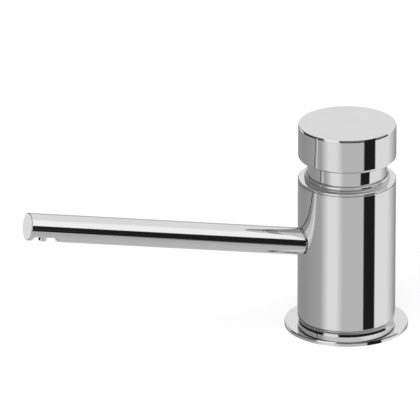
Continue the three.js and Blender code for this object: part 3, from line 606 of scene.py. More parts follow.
def swept(name, points, radius, bore=0, sides=24):
    """A round wire, or a tube with a bore, along a line of points."""
    mesh = bmesh.new()
    points = [Vector(p) for p in points]
    across = Vector((0, 1, 0))
    rings = {radius: [], bore: []} if bore else {radius: []}
    for i, point in enumerate(points):
        way = (points[min(i + 1, len(points) - 1)] - points[max(i - 1, 0)]).normalized()
        across = (across - way * across.dot(way)).normalized()
        other = way.cross(across)
        for reach, rows in rings.items():
            row = []
            for k in range(sides):
                turn = 2 * math.pi * k / sides
                row.append(mesh.verts.new(point + reach * (across * math.cos(turn) + other * math.sin(turn))))
            rows.append(row)
    for rows in rings.values():
        for near, far in zip(rows, rows[1:]):
            for k in range(sides):
                j = (k + 1) % sides
                mesh.faces.new((near[k], near[j], far[j], far[k]))
    for end in (0, -1):
        if not bore:
            mesh.faces.new(rings[radius][end])
            continue
        outer, inner = rings[radius][end], rings[bore][end]
        for k in range(sides):
            j = (k + 1) % sides
            mesh.faces.new((outer[k], outer[j], inner[j], inner[k]))
    return as_object(name, mesh)


def prism(name, outline, foot, top):
    """A prism along Z from an outline of (x, y)."""
    mesh = bmesh.new()
    low = [mesh.verts.new((x, y, foot)) for x, y in outline]
    high = [mesh.verts.new((x, y, top)) for x, y in outline]
    mesh.faces.new(low)
    mesh.faces.new(high)
    for i in range(len(outline)):
        j = (i + 1) % len(outline)
        mesh.faces.new((low[i], low[j], high[j], high[i]))
    return as_object(name, mesh)


def hexagon(name, corner, foot, top, cut, ends):
    """A six-sided prism whose corners are turned off at one end or both, as on a nut."""
    outline = [(corner * math.sin(math.pi / 3 * i), corner * math.cos(math.pi / 3 * i)) for i in range(6)]
    obj = prism(name, outline, foot, top)
    wide = corner + 1
    drop = (cut + 1) * math.tan(math.radians(30))
    low, high = [(0, foot - 1), (wide, foot - 1)], [(wide, top + 1), (0, top + 1)]
    if "foot" in ends:
        low = [(0, foot), (corner - cut, foot), (wide, foot + drop)]
    if "top" in ends:
        high = [(wide, top - drop), (corner - cut, top), (0, top)]
    combine(obj, turned("round_off", low + high), "INTERSECT")
    return obj


def hole(radius, foot, top, steps=SMALL_STEPS):
    """A cutter along Z."""
    return turned("cutter", [(0, foot), (radius, foot), (radius, top), (0, top)], steps)


def moved(obj, x=0, y=0, z=0):
    """Shifts the mesh of an object."""
    obj.data.transform(Matrix.Translation(Vector((x, y, z)) * MM))
    return obj


def turn_across(obj, axis, degrees):
    """Turns the mesh of an object about one of the axes."""
    obj.data.transform(Matrix.Rotation(math.radians(degrees), 4, axis))
    return obj


def bake_modifiers(obj):
    """Replaces the mesh of an object by what its modifiers make of it."""
    made = obj.evaluated_get(bpy.context.evaluated_depsgraph_get())
    data = bpy.data.meshes.new_from_object(made)
    obj.modifiers.clear()
    obj.data = data


def combine(obj, tool, operation="DIFFERENCE"):
    """Cuts a tool out of an object, or joins it on or keeps what both share, and deletes the tool."""
    modifier = obj.modifiers.new("combine", "BOOLEAN")
    modifier.operation = operation
    modifier.solver = "EXACT"
    modifier.object = tool
    bake_modifiers(obj)
    bpy.data.objects.remove(tool)
    if not obj.data.polygons:
        raise RuntimeError(f"{obj.name}: nothing is left of the mesh")


def smooth(obj, rounds=()):
    """Shades an object smooth up to its sharp edges, with broad faces ruling the normals. On each round, an
    (axis matrix, radius), the normals are those of a true cylinder."""
    data = obj.data
    data.polygons.foreach_set("use_smooth", [True] * len(data.polygons))
    data.set_sharp_from_angle(angle=SHARP_ANGLE)
    weighted = obj.modifiers.new("weighted", "WEIGHTED_NORMAL")
    weighted.keep_sharp = True
    weighted.weight = 100
    bake_modifiers(obj)
    if not rounds:
        return
    data = obj.data
    normals = [n.vector.copy() for n in data.corner_normals]
    for axis, radius in rounds:
        inverse = axis.inverted()
        turn = axis.to_3x3()
        back = turn.inverted()
        for face in data.polygons:
            facing = back @ face.normal
            if abs(facing.z) > 0.2:
                continue
            for corner in face.loop_indices:
                spot = inverse @ data.vertices[data.loops[corner].vertex_index].co
                out = Vector((spot.x, spot.y, 0))
                if abs(out.length - radius * MM) < ROUND_MATCH * MM:
                    out.normalize()
                    side = out.dot(facing)
                    if abs(side) > 0.97:
                        normals[corner] = turn @ (out if side > 0 else -out)
    data.normals_split_custom_set(normals)


def place(obj, body, node, name, rounds=()):
    """Smooths an object, gives it a finish and lets it stand for its CAD node on a body."""
    smooth(obj, rounds)
    material, slot = finish(name)
    obj.data.materials.clear()
    obj.data.materials.append(material)
    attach(obj, body)
    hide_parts(node)
    return obj


def spout_axis():
    """The matrix from the spout's own frame, whose Z runs out along it, to the part's frame."""
    turn = Matrix.Rotation(bpy.context.scene.dispenser_sizes.spout_pitch - math.pi / 2, 4, "Y")
    return Matrix.Translation((0, 0, size("spout_height") * MM)) @ turn


def nozzle_axis():
    """From the nozzle's own frame, whose Z points up into the spout, to the spout's frame."""
    way = Vector((0, 0, (size("spout_length") - size("nozzle_setback")) * MM))
    return Matrix.Translation(way) @ Matrix.Rotation(math.pi / 2, 4, "Y")


class DISPENSER_OT_head(bpy.types.Operator):
    """The push head: a thick round button with a hollow neck"""

    bl_idname = "dispenser.head"
    bl_label = "Push head"

    def execute(self, context):
        radius, top, foot = size("body_radius"), size("head_top"), size("head_top") - size("head_height")
        neck, relief, relief_foot = size("neck_radius"), size("neck_relief"), size("lip_top") - 0.5
        low, inside, small = size("neck_foot"), size("neck_radius") - 1.5, 0.3
        fillet, roof = size("head_fillet"), top - 4.5
        outline = [
            *foot_edge(neck, low, small, 4),
            (neck, relief_foot - relief),
            (neck - relief, relief_foot),
            (neck, foot),
            *foot_edge(radius, foot, fillet, 20),
            *bevel(radius, top, size("head_edge")),
            (0, top),
            (0, roof),
            *arc(inside - small, roof - small, small, 90, 0, 4),
            (inside, low),
        ]
        place(turned("push_head", outline), "button", "button_cap", "chrome", [(TURNED, radius)])
        return {"FINISHED"}


class DISPENSER_OT_collar(bpy.types.Operator):
    """The collar screwed into the body's top, with its raised lip and the two rings for the neck"""

    bl_idname = "dispenser.collar"
    bl_label = "Collar"

    def execute(self, context):
        radius, foot, neck = size("body_radius"), size("body_top"), size("neck_radius")
        bore, lip, rim = neck + 0.35, size("lip_radius"), foot + size("collar_height")
        lip_top = size("lip_top")
        line, depth, sharp, small, edge = foot + size("line_height"), 0.8, 0.15, 0.3, 0.5
        spigot, spigot_foot = radius - size("body_wall") - small, foot - 8
        guide_foot, guide_top, wiper_foot, wiper_top = foot - 6.8, foot - 3.1, foot - 1.7, foot + 0.2
        groove, mouth = bore + 1.1, neck + SNUG
        bead = (lip - mouth) / 2
        outline = [
            *foot_edge(spigot, spigot_foot, small, 4),
            (spigot, foot),
            (radius - depth, foot),
            (radius - depth, line),
            *foot_edge(radius, line, sharp, 4),
            *top_edge(radius, rim, edge, 12),
            *arc(lip + sharp, rim + sharp, sharp, 270, 180, 5),
            *arc(lip - bead, lip_top - bead, bead, 0, 180, 24),
            (mouth, lip_top - 1.2),
            (bore, lip_top - 1.5),
            (bore, wiper_top),
            (groove, wiper_top),
            (groove, wiper_foot),
            (bore, wiper_foot),
            (bore, guide_top),
            (groove, guide_top),
            (groove, guide_foot),
            (bore, guide_foot),
            (bore, spigot_foot),
        ]
        place(
            turned("collar_ring", outline), "housing", "collar", "chrome", [(TURNED, radius), (TURNED, lip)]
        )
        low, high, outside = span("guide_ring")
        guide = turned("neck_guide", rounded(neck + SNUG, outside, low, high, 0.25))
        place(guide, "housing", "guide_ring", "acetal")
        low, high, outside = span("wiper_ring")
        blade = [
            *foot_edge(outside, low, small, 5),
            *top_edge(outside, high, small, 5),
            (neck + 0.45, high),
            (neck + SNUG, high - 0.25),
            (neck + SNUG, high - 0.55),
            (neck + 0.5, low),
        ]
        place(turned("neck_wiper", blade), "housing", "wiper_ring", "rubber")
        return {"FINISHED"}


class DISPENSER_OT_body(bpy.types.Operator):
    """The round body with its thick floor, the hole for the spout and the tapped holes for the pump"""

    bl_idname = "dispenser.body"
    bl_label = "Body"

    def execute(self, context):
        radius, foot, top = size("body_radius"), size("body_foot"), size("body_top")
        inside, floor, bore = radius - size("body_wall"), foot + FLOOR_THICKNESS, FLOOR_BORE
        chamfer, sharp, small, tapped = 0.3, 0.15, 0.3, 2.3
        outline = [
            (bore, foot),
            *foot_edge(radius, foot, chamfer, 6),
            *top_edge(radius, top, sharp, 4),
            (inside, top),
            *arc(inside - small, floor + small, small, 0, -90, 4),
            (bore, floor),
        ]
        obj = turned("body_tube", outline)
        spout_hole = hole(SPOUT_HOLE, inside / 2, radius + 2 * OVERRUN)
        spout_hole.data.transform(spout_axis())
        combine(obj, spout_hole)
        for x, y in screw_places():
            combine(obj, moved(hole(SCREW_HOLE, floor - tapped, floor + OVERRUN, 32), x, y))
        place(obj, "housing", "body_shell", "chrome", [(TURNED, radius), (TURNED, inside)])
        return {"FINISHED"}


class DISPENSER_OT_flange(bpy.types.Operator):
    """The flange on the worktop, with its boss and the seal in its underside"""

    bl_idname = "dispenser.flange"
    bl_label = "Flange"

    def execute(self, context):
        radius, top, boss = size("flange_radius"), size("flange_top"), size("boss_radius")
        flare = size("boss_flare")
        boss_top, groove, bore, small = size("body_foot") - 0.5, size("body_radius") - 2, FLOOR_BORE, 0.3
        seal_foot, seal_top, seal_out = span("deck_seal")
        seal_in = seal_out - 6
        outline = [
            (bore, 0),
            (seal_in - small, 0),
            (seal_in - small, seal_top),
            (seal_out + small, seal_top),
            (seal_out + small, 0),
            (radius, 0),
            *bevel(radius, top, size("flange_edge")),
            (boss + flare / 9.5, top + size("flange_fall")),
            (boss, top + flare),
            *top_edge(boss, boss_top, small, 8),
            (groove, boss_top),
            (groove, size("body_foot")),
            (bore, size("body_foot")),
        ]
        disc = turned("flange_disc", outline)
        place(disc, "housing", "base_flange", "chrome", [(TURNED, boss), (TURNED, radius)])
        seal = turned("deck_gasket", rounded(seal_in, seal_out, seal_foot, seal_top, 0.4))
        place(seal, "housing", "deck_seal", "rubber")
        return {"FINISHED"}


class DISPENSER_OT_spout(bpy.types.Operator):
    """The long spout with the notch under its tip, its nozzle, and what seals and feeds it"""

    bl_idname = "dispenser.spout"
    bl_label = "Spout"

    def execute(self, context):
        radius, end, edge = size("spout_radius"), size("spout_length"), 0.45
        inside = size("body_radius") - size("body_wall")
        pitch = context.scene.dispenser_sizes.spout_pitch
        start, tail, solid = (inside - 2.8) / math.cos(pitch), radius - 0.7, end - 17
        axis, back = spout_axis(), spout_axis().inverted()
        nozzle_place, seat_radius = end - size("nozzle_setback"), size("nozzle_radius") + SNUG
        wall, groove_half, groove_depth, stem_length = 1.8, 0.65, 0.5, 12
        bar = turned(
            "spout_bar",
            [(0, inside / 2), (radius, inside / 2), *top_edge(radius, end, edge, 8), (0, end)],
            128,
        )
        form = hole(size("body_radius") + size("spout_gap"), 0, size("body_top"), ROUND_STEPS)
        form.data.transform(back)
        combine(bar, form)
        groove = start + 1.25
        stem = [
            (0, start),
            *foot_edge(tail, start, 0.3, 3),
            (tail, groove - groove_half),
            (tail - groove_depth, groove - groove_half),
            (tail - groove_depth, groove + groove_half),
            (tail, groove + groove_half),
            (tail, start + stem_length),
            (0, start + stem_length),
        ]
        combine(bar, turned("stem", stem, 96), "UNION")
        combine(bar, hole(radius - wall, start - OVERRUN, solid))
        combine(bar, hole(1.2, solid - OVERRUN, nozzle_place, 32))
        combine(bar, self.notch(radius, end))
        seat = hole(seat_radius, -radius - OVERRUN, 1.5)
        seat.data.transform(nozzle_axis())
        combine(bar, seat)
        rounds = [(axis, radius), (axis @ nozzle_axis(), seat_radius)]
        bar.data.transform(axis)
        place(bar, "housing", "spout_tube", "chrome", rounds)
        self.nozzle(radius, axis)
        self.fittings(axis, start, groove, tail, solid, inside)
        self.liner(solid - 0.3, pitch)
        return {"FINISHED"}

    def notch(self, radius, end):
        """The cutter for the notch under the tip, as setbacks from the flat end and heights above the
        axis."""
        disc, disc_fillet, flat, flat_end, end_fillet = 2.1, 1.7, -size("notch_depth"), 12.9, 2.8
        below, width = -radius - OVERRUN, radius + OVERRUN
        outline = [
            (disc, below),
            *arc(disc + disc_fillet, flat - disc_fillet, disc_fillet, 180, 90, 12),
            *arc(flat_end, flat - end_fillet, end_fillet, 90, 0, 20),
            (flat_end + end_fillet, below),
        ]
        obj = prism("notch", [(h, end - s) for s, h in outline], -width, width)
        return turn_across(obj, "X", 90)

    def nozzle(self, radius, axis):
        """The nozzle pressed into the notch's flat, with a rolled mouth."""
        outside, bore, recess, top, small = size("nozzle_radius"), 1.25, 0.15, 1.2, 0.3
        foot = recess - radius
        outline = [
            *foot_edge(outside, foot, small, 6),
            (outside, top - small),
            (outside - small, top),
            (bore, top),
            *arc(bore + small, foot + small, small, 180, 270, 6),
        ]
        obj = turned("nozzle_tube", outline)
        inlet = turn_across(hole(1.15, 0, 6, 32), "Y", 90)
        combine(obj, inlet)
        obj.data.transform(axis @ nozzle_axis())
        place(obj, "housing", "nozzle", "chrome")

    def fittings(self, axis, start, groove, tail, solid, inside):
        """The brazed socket in the body's wall, the ring seal on the spout's tail and the ferrule in its
        tip."""
        socket = turned("spout_boss", rounded(tail + 0.3, tail + 2.6, start, start + 5, 0.3), 96)
        wall = hole(inside - 0.3, size("body_foot"), size("body_top"), ROUND_STEPS)
        wall.data.transform(axis.inverted())
        combine(socket, wall, "INTERSECT")
        seal = turned(
            "spout_ring_seal", rounded(tail - 0.425, tail + SNUG, groove - 0.5, groove + 0.5, 0.2), 96
        )
        ferrule = turned(
            "liner_plug", rounded(1.9, size("spout_radius") - 2.1, solid - 4.3, solid - 0.3, 0.3)
        )
        for obj, node, name in (
            (socket, "spout_socket", "brass"),
            (seal, "spout_seal", "rubber"),
            (ferrule, "liner_ferrule", "acetal"),
        ):
            obj.data.transform(axis)
            place(obj, "housing", node, name)

    def liner(self, end, pitch):
        """The soap tube: up from the outlet valve, round one bend and along the spout's axis to the
        ferrule."""
        offset, bend, turn = OUTLET_OFFSET, 6, math.pi / 2 - pitch
        bend_end = offset + bend - bend * math.cos(turn)
        bend_foot = size("spout_height") + bend_end * math.tan(pitch) - bend * math.sin(turn)
        foot = 29.55
        points = [(-offset, 0, foot), (-offset, 0, (foot + bend_foot) / 2)]
        for i in range(17):
            a = turn * i / 16
            points.append((-offset - bend + bend * math.cos(a), 0, bend_foot + bend * math.sin(a)))
        first = bend_end / math.cos(pitch)
        for i in range(1, 9):
            d = first + (end - first) * i / 8
            points.append((-d * math.cos(pitch), 0, size("spout_height") + d * math.sin(pitch)))
        place(
            swept("soap_liner", points, radius=1.75, bore=1.15, sides=32), "housing", "spout_liner", "tubing"
        )


class DISPENSER_OT_fixing(bpy.types.Operator):
    """The threaded shank under the flange with its washers and nut, the inlet tube and the hose fitting"""

    bl_idname = "dispenser.fixing"
    bl_label = "Fixing below the worktop"

    def execute(self, context):
        low, high, outside = span("mounting_shank")
        bore, pitch = 8, size("thread_pitch")
        shank = threaded("threaded_shank", bore, outside, 0.61 * pitch, pitch, low, high)
        place(shank, "housing", "mounting_shank", "brass")
        clear = outside + 0.3
        low, high, outside = span("deck_washer")
        place(
            turned("soft_washer", rounded(clear, outside, low, high, 0.7, 8)),
            "housing",
            "deck_washer",
            "rubber",
        )
        low, high, outside = span("clamp_washer")
        rolled, burr = 0.5, 0.15
        plate = [
            *foot_edge(outside, low, 0.25, 4),
            *top_edge(outside, high, 0.7, 8),
            *arc(clear + rolled, high - rolled, rolled, 90, 180, 6),
            *arc(clear + burr, low + burr, burr, 180, 270, 4),
        ]
        place(turned("steel_washer", plate), "housing", "clamp_washer", "stamped steel")
        self.nut(clear)
        low, high, outside = span("inlet_tube")
        tube = turned("inlet_hose", rounded(outside - 1, outside, low, high, 0.15, 3), SMALL_STEPS)
        place(tube, "housing", "inlet_tube", "tubing")
        self.barb()
        return {"FINISHED"}

    def nut(self, clear):
        """A hexagon nut with a turned flange, its corners turned off and its bore countersunk."""
        low, high, flange = span("mounting_nut")
        corner, flange_height = 18.5, 2
        obj = hexagon("hexagon_nut", corner, low, high - flange_height / 2, 2.3, ("foot",))
        skirt = [
            (0, high - flange_height),
            *foot_edge(flange, high - flange_height, 0.4, 6),
            *top_edge(flange, high, 0.4, 6),
            (0, high),
        ]
        combine(obj, turned("skirt", skirt), "UNION")
        sink = 0.9
        bore = [
            (0, low - 1),
            (clear + sink + 1, low - 1),
            (clear, low + sink),
            (clear, high - sink),
            (clear + sink + 1, high + 1),
            (0, high + 1),
        ]
        combine(obj, turned("bore", bore))
        place(obj, "housing", "mounting_nut", "brass")

    def barb(self):
        """The hose fitting: a plug, a hexagon to turn it by and a nipple with three barbs."""
        low, high, _ = span("hose_barb")
        bore, shoulder, hex_top, barb, pitch, small = 2.4, 3.9, high - 6, 4.6, 4, 0.3
        hex_foot = hex_top - 4
        lead = hex_foot - 2.5
        plug, socket, socket_depth = 7.7, 3.8, 4
        barbs = []
        for i in (2, 1, 0):
            top = lead - i * pitch
            barbs += [
                (shoulder, top - pitch), (barb - 0.05, top - 0.3), (barb, top - 0.15), (barb - 0.1, top)
            ]
        body = [
            (bore + small, low),
            *barbs,
            (shoulder, lead),
            (shoulder, hex_top - 1),
            (plug, hex_top - 1),
            *top_edge(plug, high, small, 5),
            (socket, high),
            (socket, high - socket_depth),
            (bore, high - socket_depth),
            (bore, low + small),
        ]
        obj = turned("barbed_nipple", body, SMALL_STEPS)
        flats = hexagon("flats", 12.5, hex_foot, hex_top, 1.2, ("foot", "top"))
        combine(flats, hole(bore + 0.8, hex_foot - 1, hex_top + 1))
        combine(obj, flats, "UNION")
        place(obj, "housing", "hose_barb", "nylon")


def screw_places():
    """Places round the pump's axis of the three screws that hold it down."""
    turns = [2 * math.pi * i / 3 for i in range(3)]
    return [(SCREW_CIRCLE * math.cos(turn), SCREW_CIRCLE * math.sin(turn)) for turn in turns]


def cross_slot(reach, width, foot, top):
    """The cutter for the cross in a screw's head."""
    half = width / 2
    corner = [(reach, -half), (reach, half), (half, half)]
    outline = []
    for turn in range(4):
        c, s = round(math.cos(turn * math.pi / 2)), round(math.sin(turn * math.pi / 2))
        outline += [(x * c - y * s, x * s + y * c) for x, y in corner]
    return prism("cross", outline, foot, top)


def screw(name, foot, seat, head, head_height, crest, pitch):
    """A pan-head screw with a cross in its head and a real thread."""
    top = seat + head_height
    dome = [
        (0, seat),
        *foot_edge(head, seat, 0.1, 3),
        *arc(head * 0.45, top - head_height * 0.8, head * 0.55, 0, 90, 10, head_height * 0.8),
        (0, top),
    ]
    obj = turned(name, dome, SMALL_STEPS)
    combine(obj, cross_slot(head * 0.55, head * 0.2, top - head_height * 0.65, top + 1))
    combine(obj, threaded("thread", 0, crest, 0.6 * pitch, pitch, foot, seat + 0.2, 32), "UNION")
    return obj


class DISPENSER_OT_plunger(bpy.types.Operator):
    """What goes down with the head: hub, screw, rod, piston and its seal"""

    bl_idname = "dispenser.plunger"
    bl_label = "Plunger"

    def execute(self, context):
        low, high, outside = span("button_hub")
        seat = span("hub_screw")[1] - 2
        web, small, bore, boss, fillet = seat - 3, 0.3, 3.3, 6, 0.5
        wall = 1.6
        hub = [
            (bore, low),
            *foot_edge(boss, low, small, 4),
            *arc(boss + fillet, web - fillet, fillet, 180, 90, 5),
            *foot_edge(outside, web, fillet, 5),
            (outside, high),
            (outside - wall, high),
            *arc(outside - wall - fillet, seat + fillet, fillet, 0, -90, 5),
            (bore, seat),
        ]
        place(turned("head_hub", hub), "button", "button_hub", "acetal")
        foot = span("hub_screw")[0]
        hub_screw = screw("hub_pan_screw", foot, seat, head=3.4, head_height=2, crest=1.4, pitch=0.5)
        place(hub_screw, "button", "hub_screw", "turned steel")
        low, high, outside = span("piston_rod")
        rod = [
            (0, low),
            *foot_edge(outside, low, 0.4, 4),
            *top_edge(outside, high, small, 4),
            (1.7, high),
            (1.7, foot - small),
            (0, foot - 1.3),
        ]
        place(turned("pump_rod", rod, SMALL_STEPS), "button", "piston_rod", "turned steel")
        self.piston()
        return {"FINISHED"}

    def piston(self):
        """The piston with its groove, and the lip seal in it."""
        low, high, outside = span("piston")
        seal_low, seal_high, seal_out = span("piston_seal")
        small, groove = 0.3, outside - 1.4
        body = [
            (0, low),
            *foot_edge(outside, low, small, 4),
            (outside, seal_low - SNUG),
            (groove, seal_low - SNUG),
            (groove, seal_high + SNUG),
            (outside, seal_high + SNUG),
            *top_edge(outside, high, small, 4),
            (3.3, high),
            (3.3, high - 5),
            (0, high - 5),
        ]
        place(turned("piston_body", body, 96), "button", "piston", "acetal")
        middle = (seal_low + seal_high) / 2
        lips = [
            *foot_edge(seal_out, seal_low, 0.45, 6),
            (seal_out - 0.35, middle),
            *top_edge(seal_out, seal_high, 0.45, 6),
            *arc(groove + 0.35, seal_high - 0.2, 0.2, 90, 180, 4),
            *arc(groove + 0.35, seal_low + 0.2, 0.2, 180, 270, 4),
        ]
        place(turned("piston_lip_seal", lips, 96), "button", "piston_seal", "rubber")


class DISPENSER_OT_pump(bpy.types.Operator):
    """The pump that stays in the body: spring, barrel, valves and screws"""

    bl_idname = "dispenser.pump"
    bl_label = "Pump"

    def execute(self, context):
        self.spring()
        self.barrel()
        self.base()
        self.outlet()
        foot, top, _ = span("pump_screw_1")
        head_height = 1.2
        for i, (x, y) in enumerate(screw_places(), 1):
            name, seat = f"barrel_screw_{i}", top - head_height
            obj = screw(name, foot, seat, head=1.3, head_height=head_height, crest=0.8, pitch=0.35)
            place(moved(obj, x, y), "housing", f"pump_screw_{i}", "turned steel")
        return {"FINISHED"}

    def spring(self):
        """The return spring, with closed and ground ends, and its washer."""
        low, high, _ = span("return_spring")
        seat_foot, foot, outside = span("spring_seat")
        wire, turns, dead = 0.6, 9, 1.1
        radius = outside - wire
        climb = 2 * wire + 0.1
        points = []
        steps = turns * 40
        for i in range(steps + 1):
            t = turns * i / steps
            if t < dead:
                height = climb * t
            elif t > turns - dead:
                height = high - low - wire - climb * (turns - t)
            else:
                share = (t - dead) / (turns - 2 * dead)
                height = climb * dead + (high - low - wire - 2 * climb * dead) * share
            turn = 2 * math.pi * t
            points.append((radius * math.cos(turn), radius * math.sin(turn), low + wire / 2 + height))
        obj = swept("coil_spring", points, wire, sides=16)
        for vertex in obj.data.vertices:
            vertex.co.z = min(max(vertex.co.z, low * MM), high * MM)
        place(obj, "housing", "return_spring", "wire")
        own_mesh(obj)
        washer = turned("spring_washer", rounded(5.6, outside, seat_foot, foot, 0.15, 3), 96)
        place(washer, "housing", "spring_seat", "stamped steel")

    def barrel(self):
        """The barrel on its foot ring, the cap with its guide sleeve, and the rod's seal."""
        low, high, foot_radius = span("pump_barrel")
        outside, inside, foot_top, small = 9.3, 7.7, low + 2, 0.3
        tube = [
            (inside, low),
            *foot_edge(foot_radius, low, small, 4),
            *top_edge(foot_radius, foot_top, small, 4),
            *arc(outside + 0.6, foot_top + 0.6, 0.6, 270, 180, 6),
            (outside, high),
            (inside, high),
        ]
        obj = turned("barrel_tube", tube)
        combine(obj, moved(turn_across(hole(2, 4, 13), "Y", -90), z=span("pump_base")[1] + 4.4))
        for x, y in screw_places():
            combine(obj, moved(hole(SCREW_HOLE, low - OVERRUN, foot_top + OVERRUN, 32), x, y))
        place(obj, "housing", "pump_barrel", "acetal", [(TURNED, outside)])
        low, top, _ = span("barrel_cap")
        seal_low, seal_high, seal_out = span("rod_seal")
        shelf, cap_top, sleeve, bore = high, high + 2.5, 5.3, 3.15
        cap = [
            (seal_out + SNUG, low),
            *foot_edge(inside - 0.3, low, small, 4),
            (inside - 0.3, shelf),
            (outside, shelf),
            *top_edge(outside, cap_top, small, 4),
            *arc(sleeve + small, cap_top + small, small, 270, 180, 5),
            *top_edge(sleeve, top, small, 4),
            (bore, top),
            (bore, seal_high + SNUG),
            (seal_out + SNUG, seal_high + SNUG),
        ]
        place(turned("cap_and_guide", cap, 96), "housing", "barrel_cap", "acetal")
        ring = turned("rod_ring_seal", rounded(3.075, seal_out, seal_low, seal_high, 0.35), SMALL_STEPS)
        place(ring, "housing", "rod_seal", "rubber")

    def base(self):
        """The pump's base with its tail in the shank, the ring seal on it, and the inlet valve."""
        low, high, outside = span("pump_base")
        floor, small, tail = size("body_foot") + FLOOR_THICKNESS, 0.3, 7.7
        groove, groove_half, groove_depth = low + 5.15, 0.65, 0.65
        throat, rest_gap = 1.9, 0.1
        ball_foot, ball_top, _ = span("inlet_ball")
        ball = (ball_top - ball_foot) / 2
        seat = ball_foot + ball - (ball * math.sqrt(2) - throat + rest_gap)
        chamber, socket, socket_depth = ball + 0.6, 3.8, 4
        block = [
            (socket, low),
            *foot_edge(tail, low, small, 4),
            (tail, groove - groove_half),
            (tail - groove_depth, groove - groove_half),
            (tail - groove_depth, groove + groove_half),
            (tail, groove + groove_half),
            (tail, floor),
            (outside, floor),
            *top_edge(outside, high, small, 4),
            (chamber, high),
            (chamber, seat + chamber - throat),
            (throat, seat),
            (throat, low + socket_depth),
            (socket, low + socket_depth),
        ]
        obj = turned("valve_base", block, 96)
        for x, y in screw_places():
            combine(obj, moved(hole(SCREW_HOLE, floor - OVERRUN, high + OVERRUN, 32), x, y))
        place(obj, "housing", "pump_base", "acetal")
        ring = turned("base_ring_seal", arc(tail - 0.15, groove, 0.425, 0, 345, 23), 96)
        place(ring, "housing", "base_seal", "rubber")
        self.ball("inlet_ball_bearing", "inlet_valve", "inlet_ball", 0)
        low, high, outside = span("inlet_cage")
        circle = 3.9
        cage = turned("cage_plate", rounded(0, outside, low, high, small), 96)
        for i in range(4):
            x, y = circle * math.cos(math.pi / 2 * i), circle * math.sin(math.pi / 2 * i)
            combine(cage, moved(hole(1.3, low - OVERRUN, high + OVERRUN, 48), x, y))
        place(cage, "housing", "inlet_cage", "acetal")

    def ball(self, name, body, node, x):
        """A valve's ball, at its node's place."""
        low, high, _ = span(node)
        rows = arc(0, (low + high) / 2, (high - low) / 2, -90, 90, 32)
        outline = [(0, low), *rows[1:-1], (0, high)]
        place(moved(turned(name, outline, 64), x), body, node, "lapped steel")

    def outlet(self):
        """The outlet valve beside the barrel, its ball and the fitting that carries the liner."""
        low, top, radius = span("outlet_valve_body")
        offset, port, bore, small = OUTLET_OFFSET, low + 2.1, 0.9, 0.25
        seat, chamber = port + 1.6, 2.1
        upright = [
            (0, low),
            *foot_edge(radius, low, small, 4),
            (radius, top),
            (chamber, top),
            (chamber, seat + chamber - bore),
            (bore, seat),
            (bore, port),
            (0, port),
        ]
        body = moved(turned("outlet_riser", upright, SMALL_STEPS), -offset)
        combine(body, moved(turn_across(hole(1.7, 7.7, offset - 1.45), "Y", -90), z=port), "UNION")
        combine(body, moved(turn_across(hole(bore, 3.7, offset, 32), "Y", -90), z=port))
        place(body, "housing", "outlet_valve_body", "acetal")
        self.ball("outlet_ball_bearing", "outlet_valve", "outlet_ball", -offset)
        low, high, radius = span("outlet_fitting")
        nipple, bore, shelf = 1.0, 0.5, high - 3
        fitting = [
            (bore, low),
            (chamber - 0.3, low),
            (chamber - 0.3, top),
            (radius, top),
            *top_edge(radius, shelf, small, 4),
            (nipple, shelf),
            (nipple, high - 0.3),
            (nipple - 0.2, high),
            (bore, high),
        ]
        fitted = moved(turned("liner_fitting", fitting, SMALL_STEPS), -offset)
        place(fitted, "housing", "outlet_fitting", "acetal")


LOOKED_AT = (-62.98, 22.49, 59.84)  # the point in the middle of the picture, in millimetres
# The light levels of the studio's panels, as strengths.
CARD = 0.015  # black card
DIM = 0.25
SHADE = 0.35
DULL = 0.45
WALL = 0.6
BOX = 0.92  # soft box
LAMP = 1.15  # the brightest panel

# The studio's panels by direction, in degrees to the right of the camera's place: a shaded back, a soft box
# on each side, a plain wall ahead and a black card to its right.
LOW_PANELS = [
    (-180, WALL), (-140, SHADE), (-75, SHADE), (-50, BOX), (-20, BOX), (-10, DULL), (30, DULL), (80, BOX),
    (150, BOX), (180, WALL),
]
MAIN_PANELS = [
    (-180, SHADE), (-120, SHADE), (-65, DULL), (-45, BOX), (-25, BOX), (-10, WALL), (38, WALL), (40, CARD),
    (68, CARD), (70, BOX), (110, BOX), (150, SHADE), (180, SHADE),
]
END_PANELS = [
    (-180, DULL), (-150, DULL), (-140, BOX), (-125, BOX), (-120, CARD), (-58, CARD), (-52, BOX), (-22, BOX),
    (-17, CARD), (104, CARD), (110, BOX), (150, DULL), (180, DULL),
]
DARK_PANELS = [
    (-180, WALL), (-165, WALL), (-160, CARD), (-58, CARD), (-52, LAMP), (-22, LAMP), (-17, CARD), (104, CARD),
    (110, LAMP), (150, DULL), (180, WALL),
]
UPPER_PANELS = [(-180, BOX), (-150, DIM), (0, DIM), (60, DULL), (180, BOX)]
CEILING_PANELS = [
    (-180, BOX), (-150, DULL), (-65, DULL), (-50, BOX), (30, BOX), (50, LAMP), (75, LAMP), (105, BOX),
    (180, BOX),
]
# From the floor up, each with the two heights in degrees between which it takes over from the one below.
WALLS = [
    (-90, -90, [(-180, WALL), (180, WALL)]),
    (-64, -58, LOW_PANELS),
    (-28, -27, MAIN_PANELS),
    (-20.5, -19.5, END_PANELS),
    (-11.5, -10, DARK_PANELS),
    (-5, -4.5, MAIN_PANELS),
    (-1, -0.5, DARK_PANELS),
    (20, 21, UPPER_PANELS),
    (22.8, 23.4, CEILING_PANELS),
]


